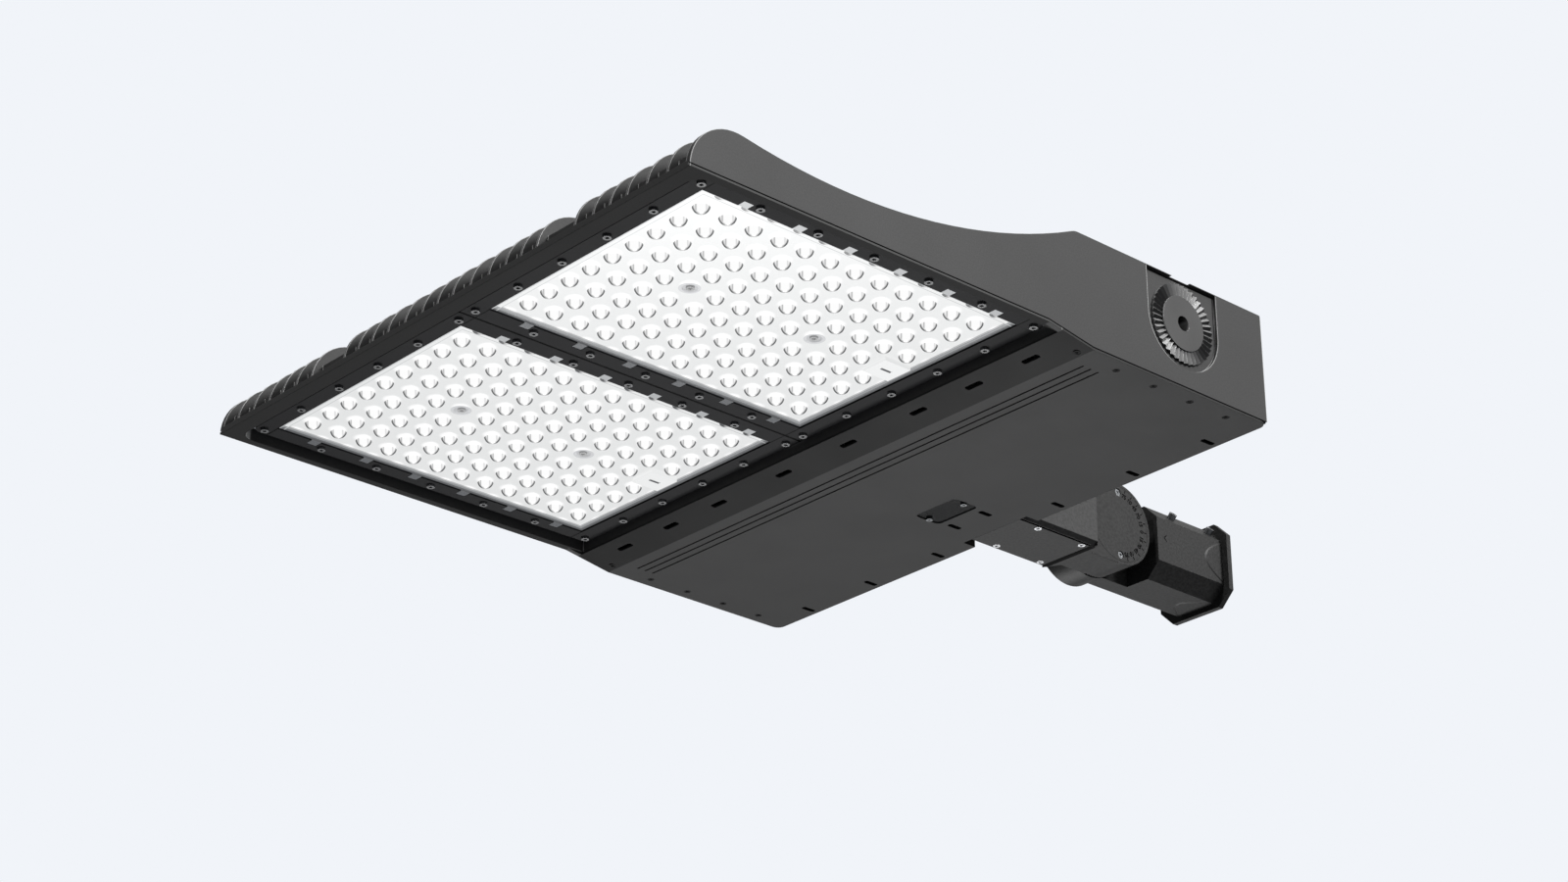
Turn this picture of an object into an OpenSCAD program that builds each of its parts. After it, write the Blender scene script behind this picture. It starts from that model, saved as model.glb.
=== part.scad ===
// Pole-mounted LED flood light: finned head, two lens modules, toothed tilt knuckle and slip fitter.
// +X runs from the tenon's mouth to the head's nose, +Z is up, and the origin is the tenon's axis at the mouth.

/* [Slip fitter] */
// Bore that slides over the pole's tenon
tenon_bore_d = 61.5; // [58:0.1:62.5]
// Depth of the tenon bore
tenon_depth = 84; // [76:1:88]
// Length of the fitter from its mouth to its front face
fitter_len = 100; // [98:0.5:104]
// Octagon of the fitter's tube, across flats
fitter_w = 76.6; // [75:0.1:80]
// Chamfer on the tube's four edges
fitter_chamfer = 15.5; // [13:0.5:17]
// Width of the flange at the mouth
mouth_w = 90; // [88:0.5:100]
// Height of the flange at the mouth
mouth_h = 88; // [86:0.5:100]
// Thickness of the flange at the mouth
mouth_t = 6; // [4:0.5:9]
// Chamfer on the flange's corners
mouth_chamfer = 15; // [10:0.5:18]
// Where the bell-shaped flare behind the mouth runs out
flare_len = 34.5; // [20:0.5:50]
// Diameter of the flare at the flange
flare_d = 88; // [85:0.5:89]
// Diameter of the two set screws that grip the tenon
set_screw_d = 8; // [6:0.5:10]
// How far a set screw stands out of the fitter
set_screw_proud = 6; // [5:0.5:10]

/* [Tilt knuckle] */
// From the tenon's mouth to the tilt axis
pivot_x = 153; // [151:0.5:158]
// Diameter of the knuckle's round ends
knuckle_d = 84; // [80:0.5:86]
// Thickness of the arm's tongue
tongue_t = 40; // [36:0.5:44]
// Thickness of the fitter's cheek
cheek_t = 30; // [24:0.5:34]
// Number of face teeth, one step of tilt each
teeth = 72; // [36:2:90]
// Height of a face tooth
tooth_h = 1.8; // [1:0.1:2.5]
// Diameter of the pivot bolt
pivot_bolt_d = 12; // [10:0.5:14]
// Diameter of the graduated dial plate
dial_d = 78; // [74:0.5:79]
// Thickness of the dial plate
dial_t = 3; // [2:0.1:4]

/* [Arm] */
// Width of the arm's box
arm_w = 72; // [68:0.5:76]
// Top of the arm's box above the tilt axis
arm_top = 42; // [42:0.5:44]
// Bottom of the arm's box below the tilt axis
arm_low = 43; // [42:0.5:43]
// Chamfer along the arm's edges
arm_chamfer = 5; // [3:0.5:7]
// From the tilt axis to the arm's rear shoulder
arm_back = 49; // [48:0.5:52]
// Thickness of the arm's wiring cover
arm_cover_t = 3; // [2:0.1:4]

/* [Head] */
// Width of the head over its side panels
head_w = 634; // [630:1:650]
// From the tilt axis to the head's rear wall
head_back = 135; // [132:0.5:140]
// Length of the head from its rear wall to its nose
head_len = 656; // [652:0.5:662]
// Top of the driver box above the tilt axis
head_top = 62.5; // [60:0.5:66]
// Bottom of the driver box below the tilt axis
box_low = 43.5; // [43.5:0.5:46]
// Bottom of the lens rim below the tilt axis
rim_low = 35; // [35:0.5:37]
// Radius of the nose
nose_r = 46; // [42:0.5:48]
// Radius of the long dip along the top
dip_r = 620; // [600:1:660]
// From the nose back to the lowest point of the dip
dip_back = 154; // [140:1:170]
// Radius where the dip meets the driver box
shoulder_r = 20; // [12:0.5:28]
// From the rear wall to the bend in the driver cover
bend_len = 218; // [214:0.5:222]
// From the rear wall to the lens opening
opening_back = 255; // [252:0.5:257]
// Width of the rim across the nose
nose_rim = 15; // [12:0.5:18]
// Width of the rim along each side
side_rim = 8; // [7:0.5:9]
// Thickness of the side panels
side_t = 5; // [4:0.5:6]
// Thickness of the driver box's walls
wall_t = 3.5; // [3:0.1:4.5]
// Thickness of the plate that carries the modules
base_t = 4; // [3:0.1:6]
// Thickness of a cooling fin
fin_t = 2.2; // [1.6:0.1:3]
// Thickness of the sheet-metal driver cover
cover_t = 2; // [1.5:0.1:2.5]

/* [Side hubs] */
// From the rear wall to the hubs for a yoke
yoke_back = 103; // [98:0.5:108]
// Height of the hubs above the tilt axis
yoke_up = 20; // [18:0.5:22]
// Outer diameter of the toothed hub
yoke_hub_d = 74.4; // [70:0.2:78]
// Inner diameter of the hub's ring of teeth
yoke_ring_d = 50.6; // [46:0.2:54]
// Diameter of the hole for the yoke bolt
yoke_bore_d = 14; // [12:0.5:16]
// Number of teeth on the hub
yoke_teeth = 40; // [24:2:48]
// Depth of the recess round the hub
yoke_recess = 3; // [2:0.1:3.4]

/* [Lens modules] */
// Spacing of the lenses
lens_pitch = 27; // [26.5:0.1:27.4]
// Diameter of a lens
lens_d = 14.6; // [13:0.2:18]
// Height of a lens dome
lens_h = 5.6; // [4:0.1:6.5]
// Underside of the lens field below the tilt axis
lens_low = 25.9; // [25.5:0.1:26.2]
// Thickness of the lens sheet
lens_t = 2; // [1.5:0.1:2.4]
// Width of the clamping rail along the head's side and nose
rail_w = 16; // [15:0.1:17]
// Width of the clamping rails at the middle and the rear
wide_rail_w = 19; // [18:0.1:20]
// Thickness of the clamping rails
rail_t = 1.5; // [1.2:0.1:2]
// Spacing of the rail screws along the head
rail_screw_pitch = 60; // [58:0.5:60]
// Diameter of a rail screw's head
rail_screw_head_d = 7.4; // [6:0.1:8]

/* [Driver box contents] */
// Length of an LED driver
driver_len = 228; // [180:1:240]
// Width of an LED driver
driver_w = 68; // [50:1:72]
// Height of an LED driver
driver_h = 38; // [28:1:42]

/* [Hidden] */
$fn = 48;
// Overrun of every cut past the face that it opens
cut = 1;
// Gap between flat faces that only lie side by side
gap = 0.3;
// Radial clearance of a running fit
run = 0.05;
// A screw head's socket, as shares of the head's diameter and height
socket_share = 0.5;
socket_deep_share = 0.6;
// Least overrun, where a longer one would bite into the next groove
skin = 0.02;
// Share of a tooth's pitch that its groove takes
groove_share = 0.94;
// How far pieces of one casting sink into each other
sink = 1;

// Places along the head
rear_x = pivot_x + head_back;
nose_x = rear_x + head_len;
bend_x = rear_x + bend_len;
opening_x = rear_x + opening_back;
dip_x = nose_x - dip_back;
yoke_x = rear_x + yoke_back;
half_w = head_w / 2;

// The head's middle plane, set so that the dial lies nearly flush with the fitter's side
flat_proud = 0.8;
head_y = fitter_w / 2 - flat_proud - tongue_t / 2;

// The driver cover's slope up to the lens rim
slope_run = 52;
function slope_z(x) = x <= bend_x ? -box_low : -box_low + (box_low - rim_low) * (x - bend_x) / slope_run;

// The long profile: nose arc, dip and shoulder are tangent to each other
nose_c = [nose_x - nose_r, -rim_low];
dip_z = -rim_low + sqrt(pow(dip_r + nose_r, 2) - pow(nose_c[0] - dip_x, 2));
shoulder_z = head_top - shoulder_r;
shoulder_x = dip_x - sqrt(pow(dip_r + shoulder_r, 2) - pow(dip_z - shoulder_z, 2));
nose_a = atan2(dip_z + rim_low, dip_x - nose_c[0]);
shoulder_a = atan2(dip_z - shoulder_z, dip_x - shoulder_x);
corner_r = 1.5;

function arc(c, r, a0, a1, n) =
    [for (i = [0 : n]) let (a = a0 + (a1 - a0) * i / n) [c[0] + r * cos(a), c[1] + r * sin(a)]];

// An arc without its first point, to follow on from another
function onward(c, r, a0, a1, n) = [for (i = [1 : n]) arc(c, r, a0, a1, n)[i]];

top_line = concat(arc(nose_c, nose_r, 0, nose_a, 14),
                  onward([dip_x, dip_z], dip_r, nose_a - 180, shoulder_a - 180, 20),
                  onward([shoulder_x, shoulder_z], shoulder_r, shoulder_a, 90, 4),
                  arc([rear_x + corner_r, head_top - corner_r], corner_r, 90, 180, 4));

// Plate that carries the modules, and the stack under it
seat_z = -20;
base_top = seat_z + base_t;
gasket_t = 1;
board_t = 1.6;
chip_t = 0.7;
chip_w = 3.5;
flange_drop = 1.1;
flange_low = -lens_low - flange_drop;
rail_low = flange_low - rail_t;
nose_lip = 6;
inner_wall = 4;

// Fins: two even runs on each side of the wide channel over each module
fin_place_shares = [0.065, 0.14, 0.216, 0.2855, 0.3486, 0.4117, 0.563, 0.634, 0.6987, 0.7634, 0.839, 0.915];
fin_places = concat([0], [for (s = fin_place_shares) s * half_w], [for (s = fin_place_shares) -s * half_w]);

// One module, on the +Y side; the other mirrors it
seam = 0.6;
rear_play = 2;
nose_play = 8;
rim_play = 7;
module_len = head_len - opening_back - nose_rim - rear_play - nose_play;
opening_corner_r = 14;
module_rear = opening_x + rear_play;
module_nose = module_rear + module_len;
module_in = seam / 2;
module_out = half_w - side_rim - rim_play;
field_x0 = module_rear + wide_rail_w;
field_x1 = module_nose - rail_w + seam / 2;
field_y0 = module_in + wide_rail_w;
field_y1 = module_out - rail_w;
border = 7;
first_row_in = 36;
row_x = module_nose - first_row_in;
mid_y = (field_y0 + field_y1) / 2 + seam / 2;
lens_rows = floor((row_x - field_x0 - border - lens_d / 2) / lens_pitch) + 1;
half_cols = floor(((field_y1 - field_y0 - lens_d) / 2 - border) / lens_pitch);
boss_row_shares = [0.25, 0.67];
boss_rows = [for (f = boss_row_shares) round(f * lens_rows)];
entry_row = lens_rows - 1;
screw_in = 11;
screw_edge = 8;
screw_steps = floor((module_len - 2 * screw_edge) / rail_screw_pitch);
cross_steps = 5;
rail_corner_r = 8;
tab_len = 10;
tab_w = 8;
tab_lead_shares = [0.151, 0.3, 0.442, 0.587, 0.7295, 0.874];
screw_shank_d = 3.4;
screw_head_h = 2;
screw_len = 10.5;
boss_d = 19;
boss_rim = 2.7;
boss_recess = 1.2;
entry_len = 30;
entry_w = 28;
entry_drop = 2.4;
entry_slot_len = 10;
entry_slot_w = 1.6;
skirt_top = seat_z - gasket_t;
board_gap = 1;

// Driver cover
slot_len = 19;
slot_w = 5.5;
rear_slot_len = 15;
slot_round_share = 0.42;
slope_slot_back = 15.5;
slope_slot_shares = [0.838, 0.627, 0.413, 0.134];
rear_slot_in = 12.5;
rear_slot_shares = [0.818, 0.538, 0.247];
mid_slot_in = 47.7;
mid_slot_y = 20;
groove_w = 2;
groove_deep = 0.8;
groove_first = 15;
groove_pitch = 9;
groove_end = 26;
cover_screw_edge = 13.5;
cover_screw_shares = [0.8784, 0.6918, 0.5122, 0.3333, 0.1529];
cover_screw_places = [for (f = cover_screw_shares) f * opening_back];
cover_screw_d = 4;
cover_screw_head_d = 6.4;
cover_screw_head_h = 1.3;
cover_screw_len = 12;
cover_corner_r = 8;
boss_w = 11;
boss_h = 14;

// Pocket in the head's rear wall that takes the arm
arm_enter = 14;
pocket_deep = 15;
pocket_side_gap = 5;
pocket_top_gap = 5;
pocket_wall = 6;
arm_gasket_t = pocket_deep - arm_enter;
arm_front_wall = 14;
arm_wall = 12;
arm_roof = 8;
arm_bolt_d = 8;
arm_bolt_head_d = 14.4;
arm_bolt_head_h = 5.3;
arm_bolt_reach = 10;
arm_bolt_play = 0.1;
arm_bolt_y = 24;
arm_bolt_low = 20;
arm_bolt_high = 28;
wire_way_d = 12;
wire_way_up = 20;
shoulder_run = 8;
cover_margin = 5;
cover_gap = 1;
arm_cover_rear = 5.5;
arm_screw_first = 71.5;
arm_screw_second = 13;
arm_screw_in = 9;
arm_screw_d = 4;
arm_screw_head_d = 7;
arm_screw_head_h = 1.6;
arm_screw_len = 10;

// Knuckle details
tooth_inner_d = 58;
knuckle_gap = 0.3;
cheek_clear = 1.5;
bolt_head_d = 20.8;
bolt_head_h = 7.5;
washer_d = 24;
washer_t = 2.5;
nut_pocket_d = 27;
nut_h = 8;
nut_seat = 6;
dial_recess_gap = 0.2;
dial_screw_out = 32.6;
dial_screw_d = 4;
dial_screw_head_d = 7.6;
dial_screw_head_h = 2;
dial_screw_len = 11;
dial_sink = 0.8;
tick_step = 15;
tick_span = 90;
tick_len = 3.2;
tick_w = 0.7;
tick_deep = 0.5;
tick_edge = 1.2;
set_screw_shares = [0.71, 0.17];
set_screw_places = [for (f = set_screw_shares) f * fitter_len];
set_screw_back = 0.1;
set_socket_d = 4.6;
set_socket_deep = 4;
set_cup_d = 4;
set_cup_deep = 1.2;
cable_hole_d = 16;
cable_hole_up = 15;

// Selector window and switches
window_back = 62.6;
window_len = 30.2;
window_w = 52;
window_corner_r = 5;
window_t = 1;
window_gap = 0.35;
window_x = rear_x + window_back;
window_mid = window_x + window_len / 2;
window_screw_y = 22.5;
window_screw_d = 3;
window_screw_head_d = 6;
window_screw_head_h = 2.4;
window_screw_len = 8;
tray_flange = 7;
tray_flange_t = 3;
tray_h = 22;
tray_wall = 2;
tray_floor = 3;
tray_half = 18.5;
switch_w = 10;
switch_len = 26;
switch_h = 12;
switch_apart = 14;
track_w = 4.2;
track_deep = 4;
slider_w = 4;
slider_len = 6;
slider_h = 6;
slider_travel = 8;

// Parts that hang from the roof of the driver box
roof_z = head_top - wall_t;
side_in = half_w - side_t;
roof_margin = 4;
driver_x = min(shoulder_x, opening_x - wall_t) - roof_margin - driver_w / 2;
driver_y = side_in / 2;
driver_ear = 12;
driver_ear_w = 34;
driver_ear_t = 3;
driver_screw_in = 6;
surge_len = 58;
surge_w = 34;
surge_h = 30;
surge_x = rear_x + wall_t + roof_margin + surge_w / 2;
surge_y = side_in / 2;
terminal_len = 62;
terminal_w = 22;
terminal_h = 17;
terminal_x = rear_x + wall_t + roof_margin + terminal_w / 2;
terminal_y = -side_in / 2;
terminal_ways = 5;
terminal_wall = 2;
terminal_screw_d = 4.4;
terminal_screw_deep = 3;
earth_apart = 20;
earth_x = terminal_x;
earth_y = terminal_y - terminal_len / 2 - earth_apart;
earth_d = 5;
earth_head_d = 9;
earth_head_h = 3.5;
earth_boss_d = 12;
earth_boss_h = 8;

// The head and arm lie about their own middle plane
module head() {
    translate([0, head_y, 0]) children();
}

// A module on the left, +Y, side or its mirror image on the right
module side(left) {
    head() mirror([0, left ? 0 : 1, 0]) children();
}

// Extrudes an outline drawn in X and Z along Y, from y0 to y1
module along_y(y0, y1) {
    translate([0, y1, 0]) rotate([90, 0, 0]) linear_extrude(y1 - y0) children();
}

// Extrudes an outline drawn in Y and Z along X, from x0 to x1
module along_x(x0, x1) {
    translate([x0, 0, 0]) rotate([90, 0, 90]) linear_extrude(x1 - x0) children();
}

module block(lo, hi) {
    translate(lo) cube(hi - lo);
}

// A cylinder along +Y from y0 to y1, centred at x and z
module rod_y(x, z, d, y0, y1) {
    translate([x, y1, z]) rotate([90, 0, 0]) cylinder(d = d, h = y1 - y0);
}

// A cylinder along +X from x0 to x1, centred at y and z
module rod_x(y, z, d, x0, x1) {
    translate([x0, y, z]) rotate([0, 90, 0]) cylinder(d = d, h = x1 - x0);
}

// A cylinder along +Z from z0 to z1, centred at x and y
module rod_z(x, y, d, z0, z1) {
    translate([x, y, z0]) cylinder(d = d, h = z1 - z0);
}

// Rectangle with cut corners, w wide and h high
module chamfered(w, h, c) {
    polygon([[-w / 2, -h / 2 + c], [-w / 2 + c, -h / 2], [w / 2 - c, -h / 2], [w / 2, -h / 2 + c],
             [w / 2, h / 2 - c], [w / 2 - c, h / 2], [-w / 2 + c, h / 2], [-w / 2, h / 2 - c]]);
}

// Rectangle from lo to hi with round corners
module rounded(lo, hi, r) {
    polygon(concat(arc([hi[0] - r, hi[1] - r], r, 0, 90, 6), arc([lo[0] + r, hi[1] - r], r, 90, 180, 6),
                   arc([lo[0] + r, lo[1] + r], r, 180, 270, 6), arc([hi[0] - r, lo[1] + r], r, 270, 360, 6)));
}

// A screw along +Z with its head's seat at z = 0 and a hexagonal socket
module screw(d, len, head_d, head_h) {
    difference() {
        union() {
            cylinder(d = d, h = len);
            translate([0, 0, -head_h]) cylinder(d = head_d, h = head_h);
        }
        translate([0, 0, -head_h - cut])
            cylinder(d = head_d * socket_share, h = head_h * socket_deep_share + cut, $fn = 6);
    }
}

// V grooves on a ring about +Y through x and z; they open towards +Y at face_y
module face_grooves(x, z, n, inner_d, outer_d, face_y, deep) {
    half = PI * outer_d / n / 2;
    for (i = [0 : n - 1])
        translate([x, face_y, z]) rotate([0, 360 * i / n, 0]) along_x(inner_d / 2, outer_d / 2 + cut)
            polygon([[skin, half * groove_share], [skin, -half * groove_share], [-deep, 0]]);
}

// The slip fitter's casting: tube, mouth flange, flare and the cheek with its ring of face teeth
cheek_y1 = -tongue_t / 2;
cheek_y0 = cheek_y1 - cheek_t;
flare_end = 1;
flare_step = 0.5;
lip_t = 4;
front_hollow_r = 57;
pointer_x = 91;
pointer_z = 2.7;
pointer_h = 7;
pointer_w = 1.2;
pointer_deep = 0.5;

module set_screw_place(x) {
    translate([x, 0, 0]) rotate([45, 0, 0]) children();
}

// Pointer let into the flat beside the dial, opening away from it
module pointer() {
    translate([pointer_x, fitter_w / 2 + cut, pointer_z]) rotate([90, 0, 0]) linear_extrude(pointer_deep + cut)
        polygon([[0, 0], [-pointer_h / 2, pointer_h / 2], [-pointer_h / 2 - pointer_w, pointer_h / 2], [-pointer_w, 0],
                 [-pointer_h / 2 - pointer_w, -pointer_h / 2], [-pointer_h / 2, -pointer_h / 2]]);
}

module slip_fitter() {
    color([0.2, 0.2, 0.21]) difference() {
        union() {
            along_x(0, fitter_len) chamfered(fitter_w, fitter_w, fitter_chamfer);
            along_x(0, mouth_t) chamfered(mouth_w, mouth_h, mouth_chamfer);
            intersection() {
                translate([mouth_t, 0, 0]) rotate([0, 90, 0])
                    cylinder(d1 = flare_d, d2 = fitter_w - flare_end, h = flare_len - mouth_t);
                along_x(0, flare_len)
                    chamfered(fitter_w + 2 * flare_step, fitter_w + 2 * flare_step, fitter_chamfer);
            }
            intersection() {
                head() block([fitter_len - lip_t, cheek_y0, -fitter_w / 2],
                             [pivot_x, cheek_y1 - cheek_clear, fitter_w / 2]);
                along_x(0, pivot_x) chamfered(fitter_w, fitter_w, fitter_chamfer);
            }
            head() rod_y(pivot_x, 0, knuckle_d, cheek_y0, cheek_y1 - knuckle_gap / 2);
        }
        rod_x(0, 0, tenon_bore_d, -cut, tenon_depth);
        rod_x(cable_hole_up, cable_hole_up, cable_hole_d, tenon_depth - cut, fitter_len + cut);
        head() rod_y(pivot_x, 0, 2 * front_hollow_r, cheek_y1 - cheek_clear, tongue_t / 2 - lip_t);
        head() rod_y(pivot_x, 0, pivot_bolt_d + 2 * run, cheek_y0 - cut, cheek_y1 + cut);
        head() face_grooves(pivot_x, 0, teeth, tooth_inner_d, knuckle_d, cheek_y1 - knuckle_gap / 2, tooth_h);
        for (x = set_screw_places)
            set_screw_place(x) rod_y(0, 0, set_screw_d + 2 * run, 0, fitter_w);
        pointer();
    }
}

// Set screw: cup point at the bore, hexagonal socket at the outer end
set_face = (fitter_w - fitter_chamfer) * sqrt(2) / 2;
set_screw_in = tenon_bore_d / 2 + set_screw_back;
set_screw_out = set_face + set_screw_proud;

module set_screw(x) {
    color([0.3, 0.3, 0.31]) set_screw_place(x) difference() {
        rod_y(0, 0, set_screw_d, set_screw_in, set_screw_out);
        translate([0, set_screw_out + cut, 0]) rotate([90, 0, 0])
            cylinder(d = set_socket_d, h = set_socket_deep + cut, $fn = 6);
        rod_y(0, 0, set_cup_d, set_screw_in - cut, set_screw_in + set_cup_deep);
    }
}

module front_set_screw() {
    set_screw(set_screw_places[0]);
}

module rear_set_screw() {
    set_screw(set_screw_places[1]);
}

// Pivot bolt: hexagonal head outside the cheek, nut in the tongue behind the dial
nut_y0 = nut_seat;
nut_y1 = nut_seat + nut_h;
bolt_end = nut_y1 + sink;

module pivot_bolt() {
    color([0.62, 0.62, 0.63]) head() union() {
        rod_y(pivot_x, 0, pivot_bolt_d, cheek_y0 - washer_t - sink, bolt_end);
        translate([pivot_x, cheek_y0 - washer_t, 0]) rotate([90, 0, 0])
            cylinder(d = bolt_head_d, h = bolt_head_h, $fn = 6);
    }
}

module pivot_washer() {
    color([0.66, 0.66, 0.67]) head() difference() {
        rod_y(pivot_x, 0, washer_d, cheek_y0 - washer_t, cheek_y0);
        rod_y(pivot_x, 0, pivot_bolt_d + 2 * run, cheek_y0 - washer_t - cut, cheek_y0 + cut);
    }
}

module pivot_nut() {
    color([0.62, 0.62, 0.63]) head() difference() {
        translate([pivot_x, nut_y1, 0]) rotate([90, 0, 0]) cylinder(d = bolt_head_d, h = nut_h, $fn = 6);
        rod_y(pivot_x, 0, pivot_bolt_d + 2 * run, nut_y0 - cut, nut_y1 + cut);
    }
}

// The arm's casting: a box that bolts to the head, narrowing to the toothed tongue
box_x0 = pivot_x + arm_back;
box_x1 = rear_x + arm_enter;
tongue_half = tongue_t / 2;
arm_cavity_x0 = box_x0 + shoulder_run;
arm_cavity_x1 = box_x1 - arm_front_wall;
arm_cavity_half = arm_w / 2 - arm_wall;
arm_cavity_z1 = arm_top - arm_roof;
cover_plate_x0 = box_x0 + arm_cover_rear;
cover_plate_half = arm_w / 2 - cover_margin;
dial_pocket_d = dial_d + 2 * dial_recess_gap;
arm_screw_places = [for (x = [arm_screw_first, arm_screw_second], y = [-1, 1])
                    [box_x0 + x, y * (arm_w / 2 - arm_screw_in)]];

module arm_outline(w) {
    translate([0, (arm_top - arm_low) / 2]) chamfered(w, arm_top + arm_low, arm_chamfer);
}

module arm_bolt_holes(d, x0, x1) {
    for (y = [-arm_bolt_y, arm_bolt_y], z = [-arm_bolt_low, arm_bolt_high]) rod_x(y, z, d, x0, x1);
}

module arm() {
    color([0.24, 0.24, 0.25]) head() difference() {
        union() {
            along_x(box_x0, box_x1) arm_outline(arm_w);
            difference() {
                translate([0, 0, -knuckle_d / 2]) linear_extrude(knuckle_d)
                    polygon([[box_x0 - shoulder_run, -tongue_half], [box_x0 + sink, -arm_w / 2],
                             [box_x0 + sink, arm_w / 2], [box_x0 - shoulder_run, tongue_half]]);
                rod_y(pivot_x, 0, knuckle_d + 2 * cheek_clear, -arm_w, cheek_y1);
            }
            block([pivot_x, cheek_y1 + knuckle_gap / 2, -knuckle_d / 2], [box_x0 + sink, tongue_half, knuckle_d / 2]);
            rod_y(pivot_x, 0, knuckle_d, cheek_y1 + knuckle_gap / 2, tongue_half);
        }
        block([arm_cavity_x0, -arm_cavity_half, -arm_low - cut], [arm_cavity_x1, arm_cavity_half, arm_cavity_z1]);
        block([cover_plate_x0, -cover_plate_half - cover_gap, -arm_low - cut],
              [box_x1 + cut, cover_plate_half + cover_gap, -arm_low + arm_cover_t]);
        for (p = arm_screw_places)
            rod_z(p[0], p[1], arm_screw_d + 2 * run, -arm_low, -arm_low + arm_cover_t + arm_screw_len);
        arm_bolt_holes(arm_bolt_d + 2 * run, box_x1 - arm_bolt_reach - cut, box_x1 + cut);
        rod_x(0, wire_way_up, wire_way_d, pivot_x - knuckle_d, box_x1 + cut);
        rod_y(pivot_x, 0, pivot_bolt_d + 2 * run, cheek_y1 - cut, tongue_half + cut);
        rod_y(pivot_x, 0, nut_pocket_d, nut_seat, tongue_half + cut);
        rod_y(pivot_x, 0, dial_pocket_d, tongue_half - dial_t, tongue_half + cut);
        for (s = [-1, 1])
            rod_y(pivot_x, s * dial_screw_out, dial_screw_d + 2 * run, tongue_half - dial_screw_len - dial_t, tongue_half);
        mirror([0, 1, 0])
            face_grooves(pivot_x, 0, teeth, tooth_inner_d, knuckle_d, -cheek_y1 - knuckle_gap / 2, tooth_h);
    }
}

module arm_cover() {
    color([0.22, 0.22, 0.23]) head() difference() {
        block([cover_plate_x0 + cover_gap, -cover_plate_half, -arm_low], [box_x1, cover_plate_half, -arm_low + arm_cover_t]);
        for (p = arm_screw_places) {
            rod_z(p[0], p[1], arm_screw_d + 2 * run, -arm_low - cut, -arm_low + arm_cover_t + cut);
            rod_z(p[0], p[1], arm_screw_head_d + 2 * run, -arm_low - cut, -arm_low + arm_screw_head_h);
        }
    }
}

module arm_cover_screws() {
    color([0.6, 0.6, 0.61]) head() for (p = arm_screw_places)
        translate([p[0], p[1], -arm_low + arm_screw_head_h])
            screw(arm_screw_d, arm_screw_len, arm_screw_head_d, arm_screw_head_h);
}

module arm_gasket() {
    color([0.08, 0.08, 0.08]) head() difference() {
        along_x(box_x1, box_x1 + arm_gasket_t) intersection() {
            arm_outline(arm_w);
            translate([-arm_w / 2, -arm_low + arm_cover_t]) square([arm_w, arm_low + arm_top]);
        }
        arm_bolt_holes(arm_bolt_d + 2 * arm_bolt_play, box_x1 - cut, box_x1 + arm_gasket_t + cut);
        rod_x(0, wire_way_up, wire_way_d, box_x1 - cut, box_x1 + arm_gasket_t + cut);
    }
}

pocket_x = rear_x + pocket_deep;
arm_bolt_seat = pocket_x + pocket_wall;

module arm_bolts() {
    color([0.62, 0.62, 0.63]) head() union() {
        arm_bolt_holes(arm_bolt_d, box_x1 - arm_bolt_reach, arm_bolt_seat + sink);
        for (y = [-arm_bolt_y, arm_bolt_y], z = [-arm_bolt_low, arm_bolt_high])
            translate([arm_bolt_seat, y, z]) rotate([0, 90, 0])
                cylinder(d = arm_bolt_head_d, h = arm_bolt_head_h, $fn = 6);
    }
}

// Dial plate let into the tongue, with a tick at each step along its rear half
dial_low = tongue_half - dial_t;

module dial_plate() {
    color([0.22, 0.22, 0.23]) head() difference() {
        rod_y(pivot_x, 0, dial_d, dial_low, tongue_half);
        for (s = [-1, 1]) {
            rod_y(pivot_x, s * dial_screw_out, dial_screw_d + 2 * run, dial_low - cut, tongue_half + cut);
            rod_y(pivot_x, s * dial_screw_out, dial_screw_head_d + 2 * run,
                  tongue_half - dial_screw_head_h, tongue_half + cut);
        }
        for (a = [-tick_span + tick_step : tick_step : tick_span - tick_step])
            translate([pivot_x, 0, 0]) rotate([0, a, 0])
                block([-dial_d / 2 + tick_edge, tongue_half - tick_deep, -tick_w / 2],
                      [-dial_d / 2 + tick_edge + tick_len, tongue_half + cut, tick_w / 2]);
    }
}

module dial_screws() {
    color([0.6, 0.6, 0.61]) head() for (s = [-1, 1])
        translate([pivot_x, tongue_half - dial_screw_head_h, s * dial_screw_out]) rotate([90, 0, 0])
            screw(dial_screw_d, dial_screw_len, dial_screw_head_d, dial_screw_head_h - dial_sink);
}

// The head's casting: side panels, driver box, module plate, rim and cooling fins
cover_top = -box_low + cover_t;
lip_x = nose_x - nose_rim;
plate_x1 = lip_x + inner_wall;
hub_spigot_d = 36;
hub_pad_d = 60;
hub_pad_t = 7;
recess_d = 88;
yoke_tooth_deep = 2.2;
slit_h = 2.4;
slit_lip = 0.8;
slit_deep = 2.5;
seam_h = 1.1;
seam_deep = 1.6;

module side_outline() {
    polygon(concat(top_line, [[rear_x, cover_top], [bend_x, cover_top], [opening_x, slope_z(opening_x) + cover_t],
                              [opening_x, slope_z(opening_x)], [bend_x + slope_run, -rim_low]]));
}

// What lies under the long profile, down to the rim
module profile() {
    polygon(concat(top_line, [[rear_x, -rim_low]]));
}

// Shadow gap between a side panel and what closes the head below it
module seam_outline() {
    low = [[rear_x - cut, cover_top], [bend_x, cover_top], [bend_x + slope_run, -rim_low + cover_t],
           [nose_x + cut, -rim_low + cover_t]];
    polygon(concat(low, [for (i = [3 : -1 : 0]) low[i] + [0, seam_h]]));
}

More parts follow.
